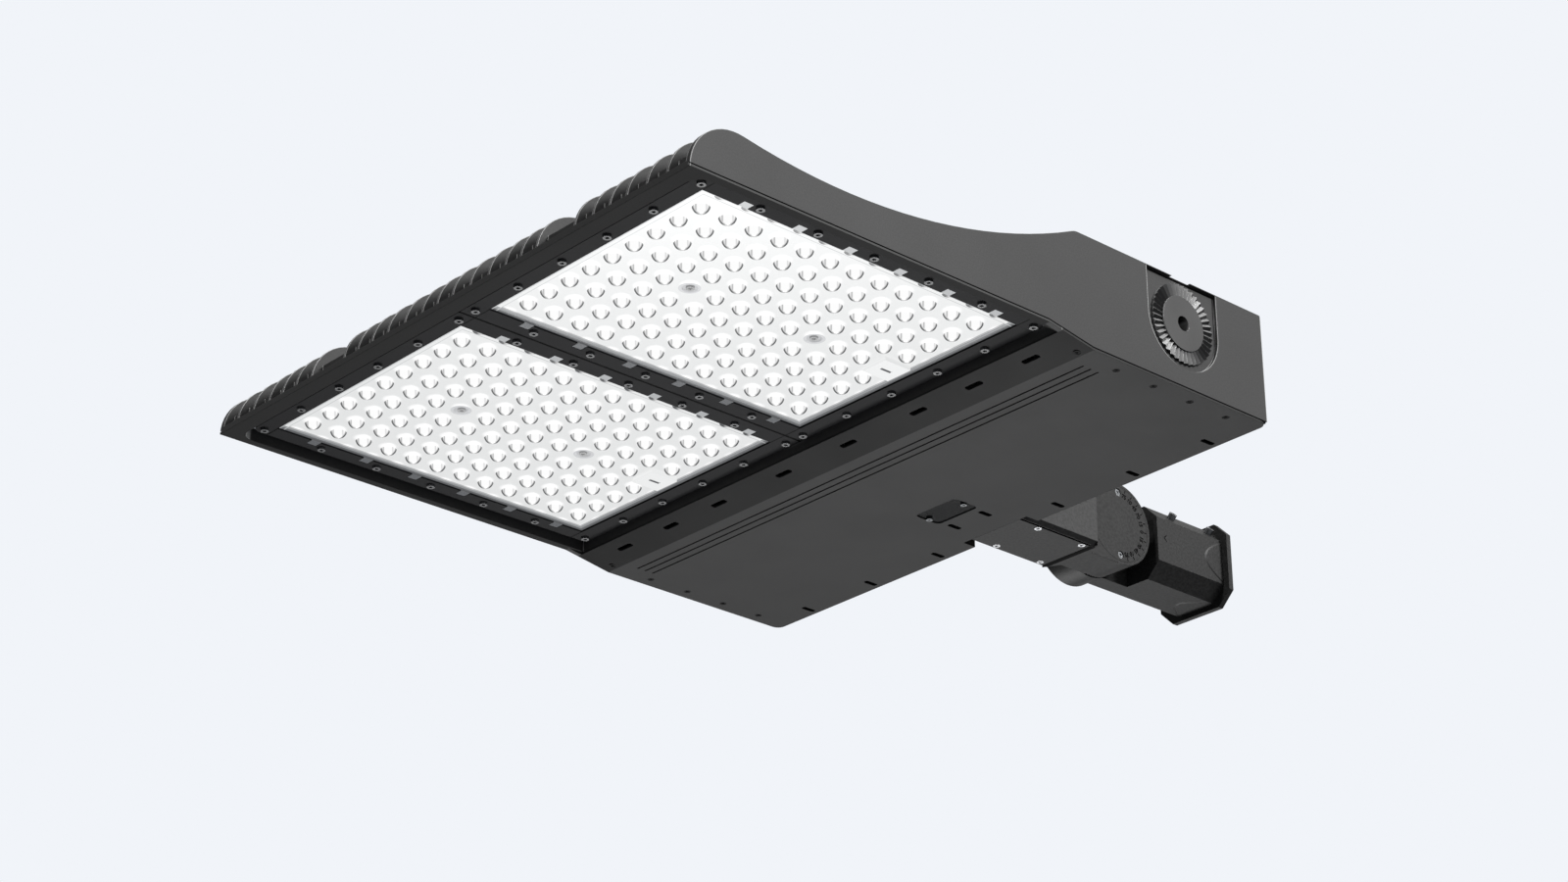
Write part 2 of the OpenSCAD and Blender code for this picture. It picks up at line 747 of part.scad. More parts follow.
module box_outline() {
    difference() {
        intersection() {
            side_outline();
            translate([rear_x, -box_low]) square([opening_back, head_top + box_low]);
        }
        difference() {
            translate([rear_x + wall_t, -box_low - cut]) square([opening_back - 2 * wall_t, roof_z + box_low + cut]);
            translate([dip_x, dip_z]) circle(r = dip_r + wall_t, $fn = 360);
        }
    }
}

module fin_outline() {
    intersection() {
        profile();
        polygon([[opening_x - sink, head_top + cut], [opening_x - sink, base_top - sink],
                 [lip_x + sink, base_top - sink], [lip_x + sink, -rim_low + nose_lip - sink],
                 [nose_x + cut, -rim_low + nose_lip - sink], [nose_x + cut, head_top + cut]]);
    }
}

module nose_outline() {
    intersection() {
        profile();
        polygon([[lip_x, -rim_low], [lip_x, base_top], [plate_x1, base_top], [plate_x1, -rim_low + nose_lip],
                 [nose_x + cut, -rim_low + nose_lip], [nose_x + cut, -rim_low]]);
    }
}

// Round corner of the lens opening at the nose
module opening_corner() {
    x = lip_x - opening_corner_r;
    y = half_w - side_rim - opening_corner_r;
    translate([0, 0, -rim_low]) linear_extrude(rim_low + base_top) difference() {
        translate([x, y]) square(opening_corner_r + sink);
        translate([x, y]) circle(r = opening_corner_r);
    }
}

module cover_bosses() {
    for (p = cover_screw_places, s = [-1, 1])
        let (x = rear_x + p, z = slope_z(x + boss_w / 2) + cover_t, y = half_w - cover_screw_edge)
            block([x - boss_w / 2, min(s * (y - boss_w / 2), s * (side_in + sink)), z],
                  [x + boss_w / 2, max(s * (y - boss_w / 2), s * (side_in + sink)), z + boss_h]);
}

module housing() {
    pocket_half = arm_w / 2 + pocket_side_gap;
    pocket_top = arm_top + pocket_top_gap;
    color([0.26, 0.26, 0.27]) head() difference() {
        union() {
            along_y(side_in, half_w) side_outline();
            along_y(-half_w, -side_in) side_outline();
            along_y(-side_in - sink, side_in + sink) box_outline();
            along_y(-side_in - sink, side_in + sink) nose_outline();
            block([opening_x - sink, -side_in - sink, seat_z], [lip_x + sink, side_in + sink, base_top]);
            for (s = [0, 1]) mirror([0, s, 0])
                block([opening_x - wall_t, half_w - side_rim, -rim_low], [lip_x + sink, side_in + sink, base_top]);
            for (y = fin_places) along_y(y - fin_t / 2, y + fin_t / 2) fin_outline();
            cover_bosses();
            for (s = [0, 1]) mirror([0, s, 0]) {
                opening_corner();
                rod_y(yoke_x, yoke_up, hub_pad_d, side_in - hub_pad_t, side_in + sink);
            }
            block([rear_x + sink, -pocket_half - wall_t, cover_top],
                  [pocket_x + pocket_wall, pocket_half + wall_t, pocket_top + wall_t]);
            rod_z(earth_x, earth_y, earth_boss_d, roof_z - earth_boss_h, roof_z + sink);
        }
        block([rear_x - cut, -pocket_half, cover_top - cut], [pocket_x, pocket_half, pocket_top]);
        arm_bolt_holes(arm_bolt_d + 2 * arm_bolt_play, pocket_x - cut, pocket_x + pocket_wall + cut);
        rod_x(0, wire_way_up, wire_way_d, pocket_x - cut, pocket_x + pocket_wall + cut);
        for (s = [0, 1]) mirror([0, s, 0]) {
            rod_y(yoke_x, yoke_up, recess_d, half_w - yoke_recess, half_w + cut);
            block([yoke_x - recess_d / 2, half_w - yoke_recess, yoke_up],
                  [yoke_x + recess_d / 2, half_w + cut, head_top - slit_lip]);
            block([yoke_x - recess_d / 2, half_w - yoke_recess - slit_deep, head_top - slit_lip - slit_h],
                  [yoke_x + recess_d / 2, half_w, head_top - slit_lip]);
            rod_y(yoke_x, yoke_up, hub_spigot_d + 2 * run, side_in - hub_pad_t - cut, half_w);
            along_y(half_w - seam_deep, half_w + cut) seam_outline();
        }
        for (p = cover_screw_places, s = [-1, 1])
            rod_z(rear_x + p, s * (half_w - cover_screw_edge), cover_screw_d + 2 * run,
                  -box_low - cut, cover_top + cover_screw_len);
        for (s = [0, 1]) mirror([0, s, 0]) for (p = rail_screw_places())
            rod_z(p[0], p[1], screw_shank_d + 2 * run, seat_z - cut, rail_low + screw_len + gap);
        for (s = [0, 1]) mirror([0, s, 0]) for (p = boss_places())
            rod_z(p[0], p[1], screw_shank_d + 2 * run, seat_z - cut, seat_z + board_screw_bite + gap);
        for (p = driver_screw_places)
            rod_z(p[0], p[1], cover_screw_d + 2 * run, roof_z - cut, roof_z + driver_screw_bite + gap);
        rod_z(earth_x, earth_y, earth_d + 2 * run, roof_z - earth_boss_h - cut, roof_z - cut);
    }
}

// Toothed hub with its spigot and bore; a yoke's own teeth lock into it
module yoke_hub(left) {
    color([0.3, 0.3, 0.31]) side(left) difference() {
        union() {
            rod_y(yoke_x, yoke_up, yoke_hub_d, half_w - yoke_recess, half_w);
            rod_y(yoke_x, yoke_up, hub_spigot_d, side_in - hub_pad_t, half_w - yoke_recess + sink);
        }
        rod_y(yoke_x, yoke_up, yoke_bore_d, side_in - hub_pad_t - cut, half_w + cut);
        face_grooves(yoke_x, yoke_up, yoke_teeth, yoke_ring_d, yoke_hub_d, half_w, yoke_tooth_deep);
    }
}

module left_yoke_hub() {
    yoke_hub(true);
}

module right_yoke_hub() {
    yoke_hub(false);
}

// Sheet-metal cover of the driver box, bent up to the lens rim
module slot(x, y, len_x, len_y) {
    r = min(len_x, len_y) * slot_round_share;
    translate([0, 0, -box_low - cut]) linear_extrude(box_low - rim_low + 2 * cut)
        rounded([x - len_x / 2, y - len_y / 2], [x + len_x / 2, y + len_y / 2], r);
}

module driver_cover() {
    pocket_half = arm_w / 2 + pocket_side_gap;
    color([0.23, 0.23, 0.24]) head() difference() {
        along_y(-half_w, half_w)
            polygon([[rear_x, -box_low], [bend_x, -box_low], [opening_x, slope_z(opening_x)],
                     [opening_x, slope_z(opening_x) + cover_t], [bend_x, cover_top], [rear_x, cover_top]]);
        for (s = [0, 1]) mirror([0, s, 0]) {
            translate([0, 0, -box_low - cut]) linear_extrude(cover_t + 2 * cut)
                polygon(concat([[rear_x - cut, half_w + cut], [rear_x - cut, half_w - cover_corner_r]],
                               arc([rear_x + cover_corner_r, half_w - cover_corner_r], cover_corner_r, 180, 90, 6),
                               [[rear_x + cover_corner_r, half_w + cut]]));
            for (f = slope_slot_shares) slot(opening_x - slope_slot_back, f * half_w, slot_w, slot_len);
            for (f = rear_slot_shares) slot(rear_x + rear_slot_in, f * half_w, rear_slot_len, slot_w);
            slot(rear_x + mid_slot_in, mid_slot_y, rear_slot_len, slot_w);
        }
        for (i = [0 : 2])
            let (x = bend_x - groove_first - i * groove_pitch)
                block([x - groove_w / 2, -half_w + groove_end, -box_low - cut],
                      [x + groove_w / 2, half_w - groove_end, -box_low + groove_deep]);
        for (p = cover_screw_places, s = [-1, 1])
            let (x = rear_x + p, y = s * (half_w - cover_screw_edge)) {
                rod_z(x, y, cover_screw_d + 2 * run, -box_low - cut, -rim_low);
                rod_z(x, y, cover_screw_head_d + 2 * run, -box_low - cut, cover_seat(x));
            }
        block([rear_x - cut, -pocket_half, -box_low - cut], [pocket_x, pocket_half, cover_top + cut]);
        translate([0, 0, -box_low - cut]) linear_extrude(cover_t + 2 * cut)
            rounded([window_x, -window_w / 2], [window_x + window_len, window_w / 2], window_corner_r);
    }
}

function cover_seat(x) = slope_z(x - cover_screw_head_d / 2) + cover_screw_head_h;

module driver_cover_screws() {
    color([0.12, 0.12, 0.12]) head() for (p = cover_screw_places, s = [-1, 1])
        let (x = rear_x + p)
            translate([x, s * (half_w - cover_screw_edge), cover_seat(x)])
                screw(cover_screw_d, cover_screw_len - cover_screw_head_h, cover_screw_head_d, cover_screw_head_h - gap);
}

// Selector window, its tray and the two slide switches behind it
window_z = cover_top - window_t;

module window_holes(d, z0, z1) {
    for (s = [-1, 1]) rod_z(window_mid, s * window_screw_y, d, z0, z1);
}

module switch_window() {
    color([0.3, 0.32, 0.32, 0.6]) head() difference() {
        translate([0, 0, window_z]) linear_extrude(window_t)
            rounded([window_x + window_gap, -window_w / 2 + window_gap],
                    [window_x + window_len - window_gap, window_w / 2 - window_gap], window_corner_r - window_gap);
        window_holes(window_screw_d + 2 * run, window_z - cut, cover_top + cut);
    }
}

module window_screws() {
    color([0.75, 0.75, 0.76]) head() for (s = [-1, 1])
        translate([window_mid, s * window_screw_y, window_z])
            screw(window_screw_d, window_screw_len, window_screw_head_d, window_screw_head_h);
}

tray_roof_z = cover_top + tray_h - tray_floor;
tray_x = window_len / 2 - tray_wall;

module switch_tray() {
    color([0.1, 0.1, 0.1]) head() difference() {
        union() {
            block([window_x - tray_flange, -window_w / 2 - tray_flange, cover_top],
                  [window_x + window_len + tray_flange, window_w / 2 + tray_flange, cover_top + tray_flange_t]);
            block([window_mid - tray_x - tray_wall, -tray_half - tray_wall, cover_top],
                  [window_mid + tray_x + tray_wall, tray_half + tray_wall, cover_top + tray_h]);
            window_holes(2 * window_screw_d, cover_top, cover_top + window_screw_len + sink);
        }
        block([window_mid - tray_x, -tray_half, cover_top - cut], [window_mid + tray_x, tray_half, tray_roof_z]);
        window_holes(window_screw_d + 2 * run, cover_top - cut, cover_top + window_screw_len);
    }
}

slider_y0 = -slider_travel / 2;
switch_z = tray_roof_z - switch_h;

module slide_switch(x) {
    color([0.75, 0.2, 0.15]) head() difference() {
        block([window_mid + x - switch_w / 2, -switch_len / 2, switch_z],
              [window_mid + x + switch_w / 2, switch_len / 2, tray_roof_z]);
        block([window_mid + x - track_w / 2, slider_y0 - slider_len / 2 - gap, switch_z - cut],
              [window_mid + x + track_w / 2, -slider_y0 + slider_len / 2 + gap, switch_z + track_deep]);
    }
}

module slider(x) {
    color([0.93, 0.93, 0.9]) head()
        block([window_mid + x - slider_w / 2, slider_y0 - slider_len / 2, switch_z + track_deep - slider_h],
              [window_mid + x + slider_w / 2, slider_y0 + slider_len / 2, switch_z + track_deep]);
}

module power_switch() {
    slide_switch(-switch_apart / 2);
}

module colour_switch() {
    slide_switch(switch_apart / 2);
}

module power_slider() {
    slider(-switch_apart / 2);
}

module colour_slider() {
    slider(switch_apart / 2);
}

// LED drivers with fixing ears, hung from the roof of the driver box
driver_screw_places = [for (s = [-1, 1], e = [-1, 1])
                       [driver_x, s * driver_y + e * (driver_len / 2 + driver_screw_in)]];
driver_screw_bite = 2.4;

module driver(left) {
    color([0.8, 0.8, 0.79]) side(left) difference() {
        union() {
            block([driver_x - driver_w / 2, driver_y - driver_len / 2, roof_z - driver_h],
                  [driver_x + driver_w / 2, driver_y + driver_len / 2, roof_z]);
            block([driver_x - driver_ear_w / 2, driver_y - driver_len / 2 - driver_ear, roof_z - driver_ear_t],
                  [driver_x + driver_ear_w / 2, driver_y + driver_len / 2 + driver_ear, roof_z]);
        }
        for (e = [-1, 1])
            rod_z(driver_x, driver_y + e * (driver_len / 2 + driver_screw_in), cover_screw_d + 2 * run,
                  roof_z - driver_ear_t - cut, roof_z + cut);
    }
}

module left_driver() {
    driver(true);
}

module right_driver() {
    driver(false);
}

module driver_screws() {
    color([0.7, 0.7, 0.7]) head() for (p = driver_screw_places)
        translate([p[0], p[1], roof_z - driver_ear_t])
            screw(cover_screw_d, driver_ear_t + driver_screw_bite, cover_screw_head_d, cover_screw_head_h + sink);
}

module surge_protector() {
    color([0.85, 0.85, 0.84]) head() union() {
        block([surge_x - surge_w / 2, surge_y - surge_len / 2, roof_z - surge_h],
              [surge_x + surge_w / 2, surge_y + surge_len / 2, roof_z]);
        rod_z(surge_x, surge_y, surge_w / 2, roof_z - surge_h - sink, roof_z - surge_h);
    }
}

module terminal_block() {
    way = (terminal_len - terminal_wall) / terminal_ways;
    color([0.9, 0.9, 0.86]) head() difference() {
        block([terminal_x - terminal_w / 2, terminal_y - terminal_len / 2, roof_z - terminal_h],
              [terminal_x + terminal_w / 2, terminal_y + terminal_len / 2, roof_z]);
        for (i = [0 : terminal_ways - 1])
            let (y = terminal_y - terminal_len / 2 + terminal_wall / 2 + (i + 0.5) * way) {
                rod_z(terminal_x, y, terminal_screw_d, roof_z - terminal_h - cut, roof_z - terminal_h + terminal_screw_deep);
                rod_x(y, roof_z - terminal_h / 2, terminal_screw_d, terminal_x - terminal_w, terminal_x + terminal_w);
            }
    }
}

module earth_screw() {
    color([0.2, 0.55, 0.25]) head() translate([earth_x, earth_y, roof_z - earth_boss_h])
        screw(earth_d, earth_boss_h - 2 * cut, earth_head_d, earth_head_h);
}

// Lens modules
function rail_screw_places() =
    let (y0 = module_in + screw_in, y1 = module_out - screw_edge,
         x0 = module_rear + screw_edge, x1 = module_nose - screw_edge)
    concat([for (i = [0 : screw_steps], y = [y0, y1]) [x1 - i * rail_screw_pitch, y]],
           [for (k = [1 : cross_steps - 1], x = [x0, x1]) [x, y0 + (y1 - y0) * k / cross_steps]]);

function is_boss(i, k) = k == 0 && len(search(i, boss_rows)) > 0;
function boss_places() = [for (i = boss_rows) [row_x - i * lens_pitch, mid_y]];
function lens_places() =
    [for (i = [0 : lens_rows - 1], k = [-half_cols : half_cols])
        if (!is_boss(i, k) && !(k == 0 && i == entry_row)) [row_x - i * lens_pitch, mid_y + k * lens_pitch]];
board_screw_bite = 3;
tab_places = [for (f = tab_lead_shares) module_nose - f * module_len];

module rail_tabs(x0, x1, y0, y1, z0, z1) {
    for (x = tab_places) block([x - tab_len / 2 + x0, y0, z0], [x + tab_len / 2 - x1, y1, z1]);
}

module long_rail(left, y0, y1, tab_y0, tab_y1, round_out) {
    color([0.16, 0.16, 0.17]) side(left) difference() {
        translate([0, 0, rail_low]) linear_extrude(rail_t)
            polygon(round_out
                ? concat([[module_rear, y0], [module_nose, y0]],
                         arc([module_nose - rail_corner_r, y1 - rail_corner_r], rail_corner_r, 0, 90, 6),
                         arc([module_rear + rail_corner_r, y1 - rail_corner_r], rail_corner_r, 90, 180, 6))
                : [[module_rear, y0], [module_nose, y0], [module_nose, y1], [module_rear, y1]]);
        rail_tabs(0, 0, tab_y0, tab_y1, rail_low - cut, flange_low + cut);
        screw_holes(rail_low - cut, flange_low + cut);
    }
}

module screw_holes(z0, z1) {
    for (p = rail_screw_places()) rod_z(p[0], p[1], screw_shank_d + 2 * run, z0, z1);
}

module outer_rail(left) {
    long_rail(left, field_y1, module_out, field_y1 - cut, field_y1 + tab_w, true);
}

module inner_rail(left) {
    long_rail(left, module_in, field_y0, field_y0 - tab_w, field_y0 + cut, false);
}

module short_rail(left, x0, x1) {
    color([0.16, 0.16, 0.17]) side(left) difference() {
        block([x0, field_y0, rail_low], [x1, field_y1, flange_low]);
        screw_holes(rail_low - cut, flange_low + cut);
    }
}

module nose_rail(left) {
    short_rail(left, field_x1, module_nose);
}

module rear_rail(left) {
    short_rail(left, module_rear, field_x0);
}

module rail_screws(left) {
    color([0.6, 0.6, 0.6]) side(left) for (p = rail_screw_places())
        translate([p[0], p[1], rail_low]) screw(screw_shank_d, screw_len, rail_screw_head_d, screw_head_h);
}

module lens_sheet(left) {
    dome_r = (lens_d * lens_d / 4 + lens_h * lens_h) / (2 * lens_h);
    entry_x = field_x0 + border - sink;
    color([0.94, 0.95, 0.96]) side(left) difference() {
        union() {
            difference() {
                block([module_rear + gap, module_in + gap, flange_low], [module_nose - gap, module_out - gap, skirt_top]);
                block([field_x0 + border, field_y0 + border, flange_low - cut],
                      [field_x1 - border, field_y1 - border, skirt_top + cut]);
            }
            block([field_x0 + border - sink, field_y0 + border - sink, -lens_low],
                  [field_x1 - border + sink, field_y1 - border + sink, -lens_low + lens_t]);
            intersection() {
                for (p = lens_places()) translate([p[0], p[1], -lens_low - lens_h + dome_r]) sphere(r = dome_r);
                block([field_x0, field_y0, -lens_low - 2 * lens_h], [field_x1, field_y1, -lens_low + lens_t / 2]);
            }
            block([entry_x, mid_y - entry_w / 2, -lens_low - entry_drop],
                  [entry_x + entry_len, mid_y + entry_w / 2, -lens_low + sink]);
            for (p = boss_places()) rod_z(p[0], p[1], boss_d, -lens_low, skirt_top - board_t + gasket_t);
            rail_tabs(gap, gap, field_y1 - sink, field_y1 + tab_w - gap, rail_low + gap, flange_low + sink);
            rail_tabs(gap, gap, field_y0 - tab_w + gap, field_y0 + sink, rail_low + gap, flange_low + sink);
        }
        screw_holes(rail_low - cut, skirt_top + cut);
        for (p = boss_places()) {
            rod_z(p[0], p[1], boss_d - 2 * boss_rim, -lens_low - cut, -lens_low + boss_recess);
            rod_z(p[0], p[1], screw_shank_d + 2 * run, -lens_low - cut, seat_z);
        }
        block([entry_x + (entry_len - entry_slot_len) / 2, mid_y - entry_slot_w / 2, -lens_low - entry_drop - cut],
              [entry_x + (entry_len + entry_slot_len) / 2, mid_y + entry_slot_w / 2, -lens_low - sink]);
    }
}

board_x0 = field_x0 + border + board_gap;
board_x1 = field_x1 - border - board_gap;
board_y0 = field_y0 + border + board_gap;
board_y1 = field_y1 - border - board_gap;

module lens_gasket(left) {
    color([0.85, 0.85, 0.83]) side(left) difference() {
        block([module_rear + gap, module_in + gap, skirt_top], [module_nose - gap, module_out - gap, seat_z]);
        block([field_x0 + border, field_y0 + border, skirt_top - cut], [field_x1 - border, field_y1 - border, seat_z + cut]);
        screw_holes(skirt_top - cut, seat_z + cut);
    }
}

module board(left) {
    color([0.95, 0.95, 0.95]) side(left) difference() {
        block([board_x0, board_y0, seat_z - board_t], [board_x1, board_y1, seat_z]);
        for (p = boss_places()) rod_z(p[0], p[1], screw_shank_d + 2 * run, seat_z - board_t - cut, seat_z + cut);
    }
}

module chips(left) {
    color([0.95, 0.85, 0.35]) side(left) for (p = lens_places())
        block([p[0] - chip_w / 2, p[1] - chip_w / 2, seat_z - board_t - chip_t],
              [p[0] + chip_w / 2, p[1] + chip_w / 2, seat_z - board_t]);
}

module board_screws(left) {
    seat = -lens_low + boss_recess;
    color([0.6, 0.6, 0.6]) side(left) for (p = boss_places())
        translate([p[0], p[1], seat])
            screw(screw_shank_d, seat_z + board_screw_bite - seat, rail_screw_head_d, screw_head_h - sink / 2);
}

module left_outer_rail() { outer_rail(true); }
module left_inner_rail() { inner_rail(true); }
module left_nose_rail() { nose_rail(true); }
module left_rear_rail() { rear_rail(true); }
module left_rail_screws() { rail_screws(true); }
module left_lens_sheet() { lens_sheet(true); }
module left_lens_gasket() { lens_gasket(true); }
module left_board() { board(true); }
module left_chips() { chips(true); }
module left_board_screws() { board_screws(true); }
module right_outer_rail() { outer_rail(false); }
module right_inner_rail() { inner_rail(false); }
module right_nose_rail() { nose_rail(false); }
module right_rear_rail() { rear_rail(false); }
module right_rail_screws() { rail_screws(false); }
module right_lens_sheet() { lens_sheet(false); }
module right_lens_gasket() { lens_gasket(false); }
module right_board() { board(false); }
module right_chips() { chips(false); }
module right_board_screws() { board_screws(false); }

slip_fitter();
pivot_bolt();
pivot_washer();
pivot_nut();
front_set_screw();
rear_set_screw();
arm();
arm_cover();
arm_cover_screws();
arm_gasket();
arm_bolts();
dial_plate();
dial_screws();
housing();
left_yoke_hub();
right_yoke_hub();
driver_cover();
driver_cover_screws();
switch_window();
window_screws();
switch_tray();
power_switch();
colour_switch();
power_slider();
colour_slider();
left_driver();
right_driver();
driver_screws();
surge_protector();
terminal_block();
earth_screw();
left_outer_rail();
left_inner_rail();
left_nose_rail();
left_rear_rail();
left_rail_screws();
left_lens_sheet();
left_lens_gasket();
left_board();
left_chips();
left_board_screws();
right_outer_rail();
right_inner_rail();
right_nose_rail();
right_rear_rail();
right_rail_screws();
right_lens_sheet();
right_lens_gasket();
right_board();
right_chips();
right_board_screws();
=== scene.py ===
# %% [markdown]
# A large LED flood light, seen from below. The construction comes in as a fixed frame of CAD pieces. This
# file gives every piece the finish of the real one, adds the dial's numbers, and sets up a plain studio
# with the camera where the photo was taken from.

# %% Load the frame
import math
import bpy
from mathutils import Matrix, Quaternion, Vector


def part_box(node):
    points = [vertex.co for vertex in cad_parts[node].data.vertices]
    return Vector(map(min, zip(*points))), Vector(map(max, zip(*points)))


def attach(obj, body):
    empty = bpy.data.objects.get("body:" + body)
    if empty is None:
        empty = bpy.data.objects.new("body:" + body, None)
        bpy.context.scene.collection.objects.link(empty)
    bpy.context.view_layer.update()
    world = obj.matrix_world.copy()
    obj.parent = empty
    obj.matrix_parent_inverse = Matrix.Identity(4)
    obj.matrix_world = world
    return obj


MM = 0.001
SIDES = ("left", "right")
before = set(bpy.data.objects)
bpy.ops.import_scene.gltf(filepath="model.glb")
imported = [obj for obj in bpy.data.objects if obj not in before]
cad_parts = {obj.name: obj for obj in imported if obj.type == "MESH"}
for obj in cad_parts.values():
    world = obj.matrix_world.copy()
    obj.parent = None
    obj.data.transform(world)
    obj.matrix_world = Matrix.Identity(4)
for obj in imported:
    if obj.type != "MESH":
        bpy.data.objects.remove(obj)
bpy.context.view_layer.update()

# %% [markdown]
# The camera was solved from the grid of lenses in the photo. It stands low in front of the light's nose, on
# the side that carries the dial, and looks up. A camera can be placed by hand until the picture fits, but a
# regular grid gives its place, its heading and its lens by calculation, so those numbers stand here.

# %% Camera
CAMERA_PLACE = Vector((2.3486, 2.0037, -1.2801))
AZIMUTH = math.radians(138.08)
ELEVATION = math.radians(-25.02)
ROLL = math.radians(-0.09)
FOCAL_PX = 3416.9
IMAGE_W = 1600
SENSOR_MM = 36.0
CLIP_NEAR = 0.05
CLIP_FAR = 100

level_part = math.cos(ELEVATION)
back = Vector((math.sin(AZIMUTH) * level_part, -math.cos(AZIMUTH) * level_part, math.sin(ELEVATION)))
camera_data = bpy.data.cameras.new("camera")
camera_data.sensor_width = SENSOR_MM
camera_data.lens = FOCAL_PX * SENSOR_MM / IMAGE_W
camera_data.clip_start = CLIP_NEAR
camera_data.clip_end = CLIP_FAR
camera = bpy.data.objects.new("camera", camera_data)
camera.location = CAMERA_PLACE
camera.rotation_mode = "QUATERNION"
camera.rotation_quaternion = (-back).to_track_quat("-Z", "Y") @ Quaternion((0, 0, 1), ROLL)
bpy.context.scene.collection.objects.link(camera)
bpy.context.scene.camera = camera
print("lens mm:", round(camera_data.lens, 2))

# %% [markdown]
# A paint card gives a colour as a hex number, while Blender mixes light with linear numbers, so one
# function turns the first into the second. Materials are trees of nodes. They can be drawn by hand in the
# shader editor, but here one small function adds a node with its settings and its links, so that each tree
# can be read like a recipe.


# %% Colour and node helpers
def linear(hex_colour):
    """The linear colour, with full opacity, of an sRGB hex colour."""
    channels = [int(hex_colour[i:i + 2], 16) / 255 for i in (1, 3, 5)]
    return [c / 12.92 if c <= 0.04045 else ((c + 0.055) / 1.055) ** 2.4 for c in channels] + [1.0]


def add(tree, kind, inputs=None, **settings):
    """Adds one node. inputs gives its inputs by name or number, each a value or the socket that feeds it."""
    node = tree.nodes.new(kind)
    for name, value in settings.items():
        setattr(node, name, value)
    for name, value in (inputs or {}).items():
        if isinstance(value, bpy.types.NodeSocket):
            tree.links.new(value, node.inputs[name])
        else:
            node.inputs[name].default_value = value
    return node


def new_material(name):
    """A material without nodes, and the tree to add them to."""
    material = bpy.data.materials.new(name)
    material.use_nodes = True
    tree = material.node_tree
    tree.nodes.clear()
    return material, tree


print("a mid grey is", [round(v, 3) for v in linear("#808080")[:3]])

# %% [markdown]
# The studio is a pale room. A photo of a sky could light it, but a plain world keeps every tone under
# control. The camera sees the room's pale colour, also through clear plastic. The light that the room gives
# is another matter: it is weak, and it fades towards the nose, because the slanted faces there stay dark in
# the photo.

# %% Room
ROOM = linear("#F1F4F9")
LAMP_WHITE = linear("#F9F9F9")
WORLD_LEVEL = 0.35
NOSE_SHADE = 0.75

world = bpy.data.worlds.new("pale_room")
bpy.context.scene.world = world
world.use_nodes = True
tree = world.node_tree
tree.nodes.clear()
rays = add(tree, "ShaderNodeLightPath")
from_camera, through_glass = rays.outputs["Is Camera Ray"], rays.outputs["Is Transmission Ray"]
seen = add(tree, "ShaderNodeMath", {0: from_camera, 1: through_glass}, operation="MAXIMUM")
direction = add(tree, "ShaderNodeTexCoord")
along = add(tree, "ShaderNodeSeparateXYZ", {"Vector": direction.outputs["Generated"]})
level = add(tree, "ShaderNodeMapRange", {"Value": along.outputs["X"], "From Min": -1.0, "From Max": 1.0,
                                         "To Min": WORLD_LEVEL * (1 + NOSE_SHADE),
                                         "To Max": WORLD_LEVEL * (1 - NOSE_SHADE)})
lit = add(tree, "ShaderNodeBackground", {"Color": LAMP_WHITE, "Strength": level.outputs["Result"]})
shown = add(tree, "ShaderNodeBackground", {"Color": ROOM, "Strength": 1.0})
mixed = add(tree, "ShaderNodeMixShader", {0: seen.outputs[0], 1: lit.outputs[0], 2: shown.outputs[0]})
add(tree, "ShaderNodeOutputWorld", {"Surface": mixed.outputs[0]})
print("world level:", WORLD_LEVEL)

# %% [markdown]
# In the photo the long side that faces the camera is lit from above, the nose catches a little light from
# above, and the underside is lit softly from below and behind. A sun lights all parts alike, however far
# they reach, so two suns stand high on the camera's side and a small one stands over the nose. The soft
# light from below needs a broad source, so there it is a square softbox, which the camera doesn't see.

# %% Lamps
MIDDLE = Vector((0.5, 0.0, 0.0))


def place_lamp(name, data, towards, distance=0.0):
    """Puts a lamp out from the middle of the light, in the direction towards, and turns it to face back.

    Only the direction counts for a sun, so its distance can stay zero.
    """
    lamp = bpy.data.objects.new(name, data)
    lamp.location = MIDDLE + distance * Vector(towards).normalized()
    lamp.rotation_mode = "QUATERNION"
    lamp.rotation_quaternion = Vector(towards).to_track_quat("Z", "Y")
    lamp.visible_camera = False
    bpy.context.scene.collection.objects.link(lamp)


def sun(name, towards, level, spread):
    """A sun that adds level times a surface's colour where it meets it squarely. spread is in degrees."""
    data = bpy.data.lights.new(name, "SUN")
    data.energy = level * math.pi
    data.angle = math.radians(spread)
    place_lamp(name, data, towards)


def softbox(name, towards, distance, size, level):
    """A square lamp, with its level counted as a sun's is."""
    data = bpy.data.lights.new(name, "AREA")
    data.size = size
    data.energy = level * (math.pi * distance) ** 2
    place_lamp(name, data, towards, distance)


sun("side_sun", (-0.40, 0.72, 0.57), level=1.22, spread=20)
sun("top_sun", (-0.15, 0.46, 0.88), level=0.35, spread=25)
sun("nose_sun", (0.70, 0.13, 0.70), level=0.45, spread=10)
softbox("low_softbox", (-0.45, -0.45, -0.77), distance=3.0, size=1.8, level=0.85)
print("lamps:", sorted(lamp.name for lamp in bpy.data.lights))

# %% [markdown]
# The light hangs five metres above the floor, so the floor only shows from above. Its paint is pale to the
# camera and darker to every other ray, so that it throws little light back up at the underside.

# %% Floor
FLOOR_DROP = 5.0
FLOOR_SIZE = 60.0

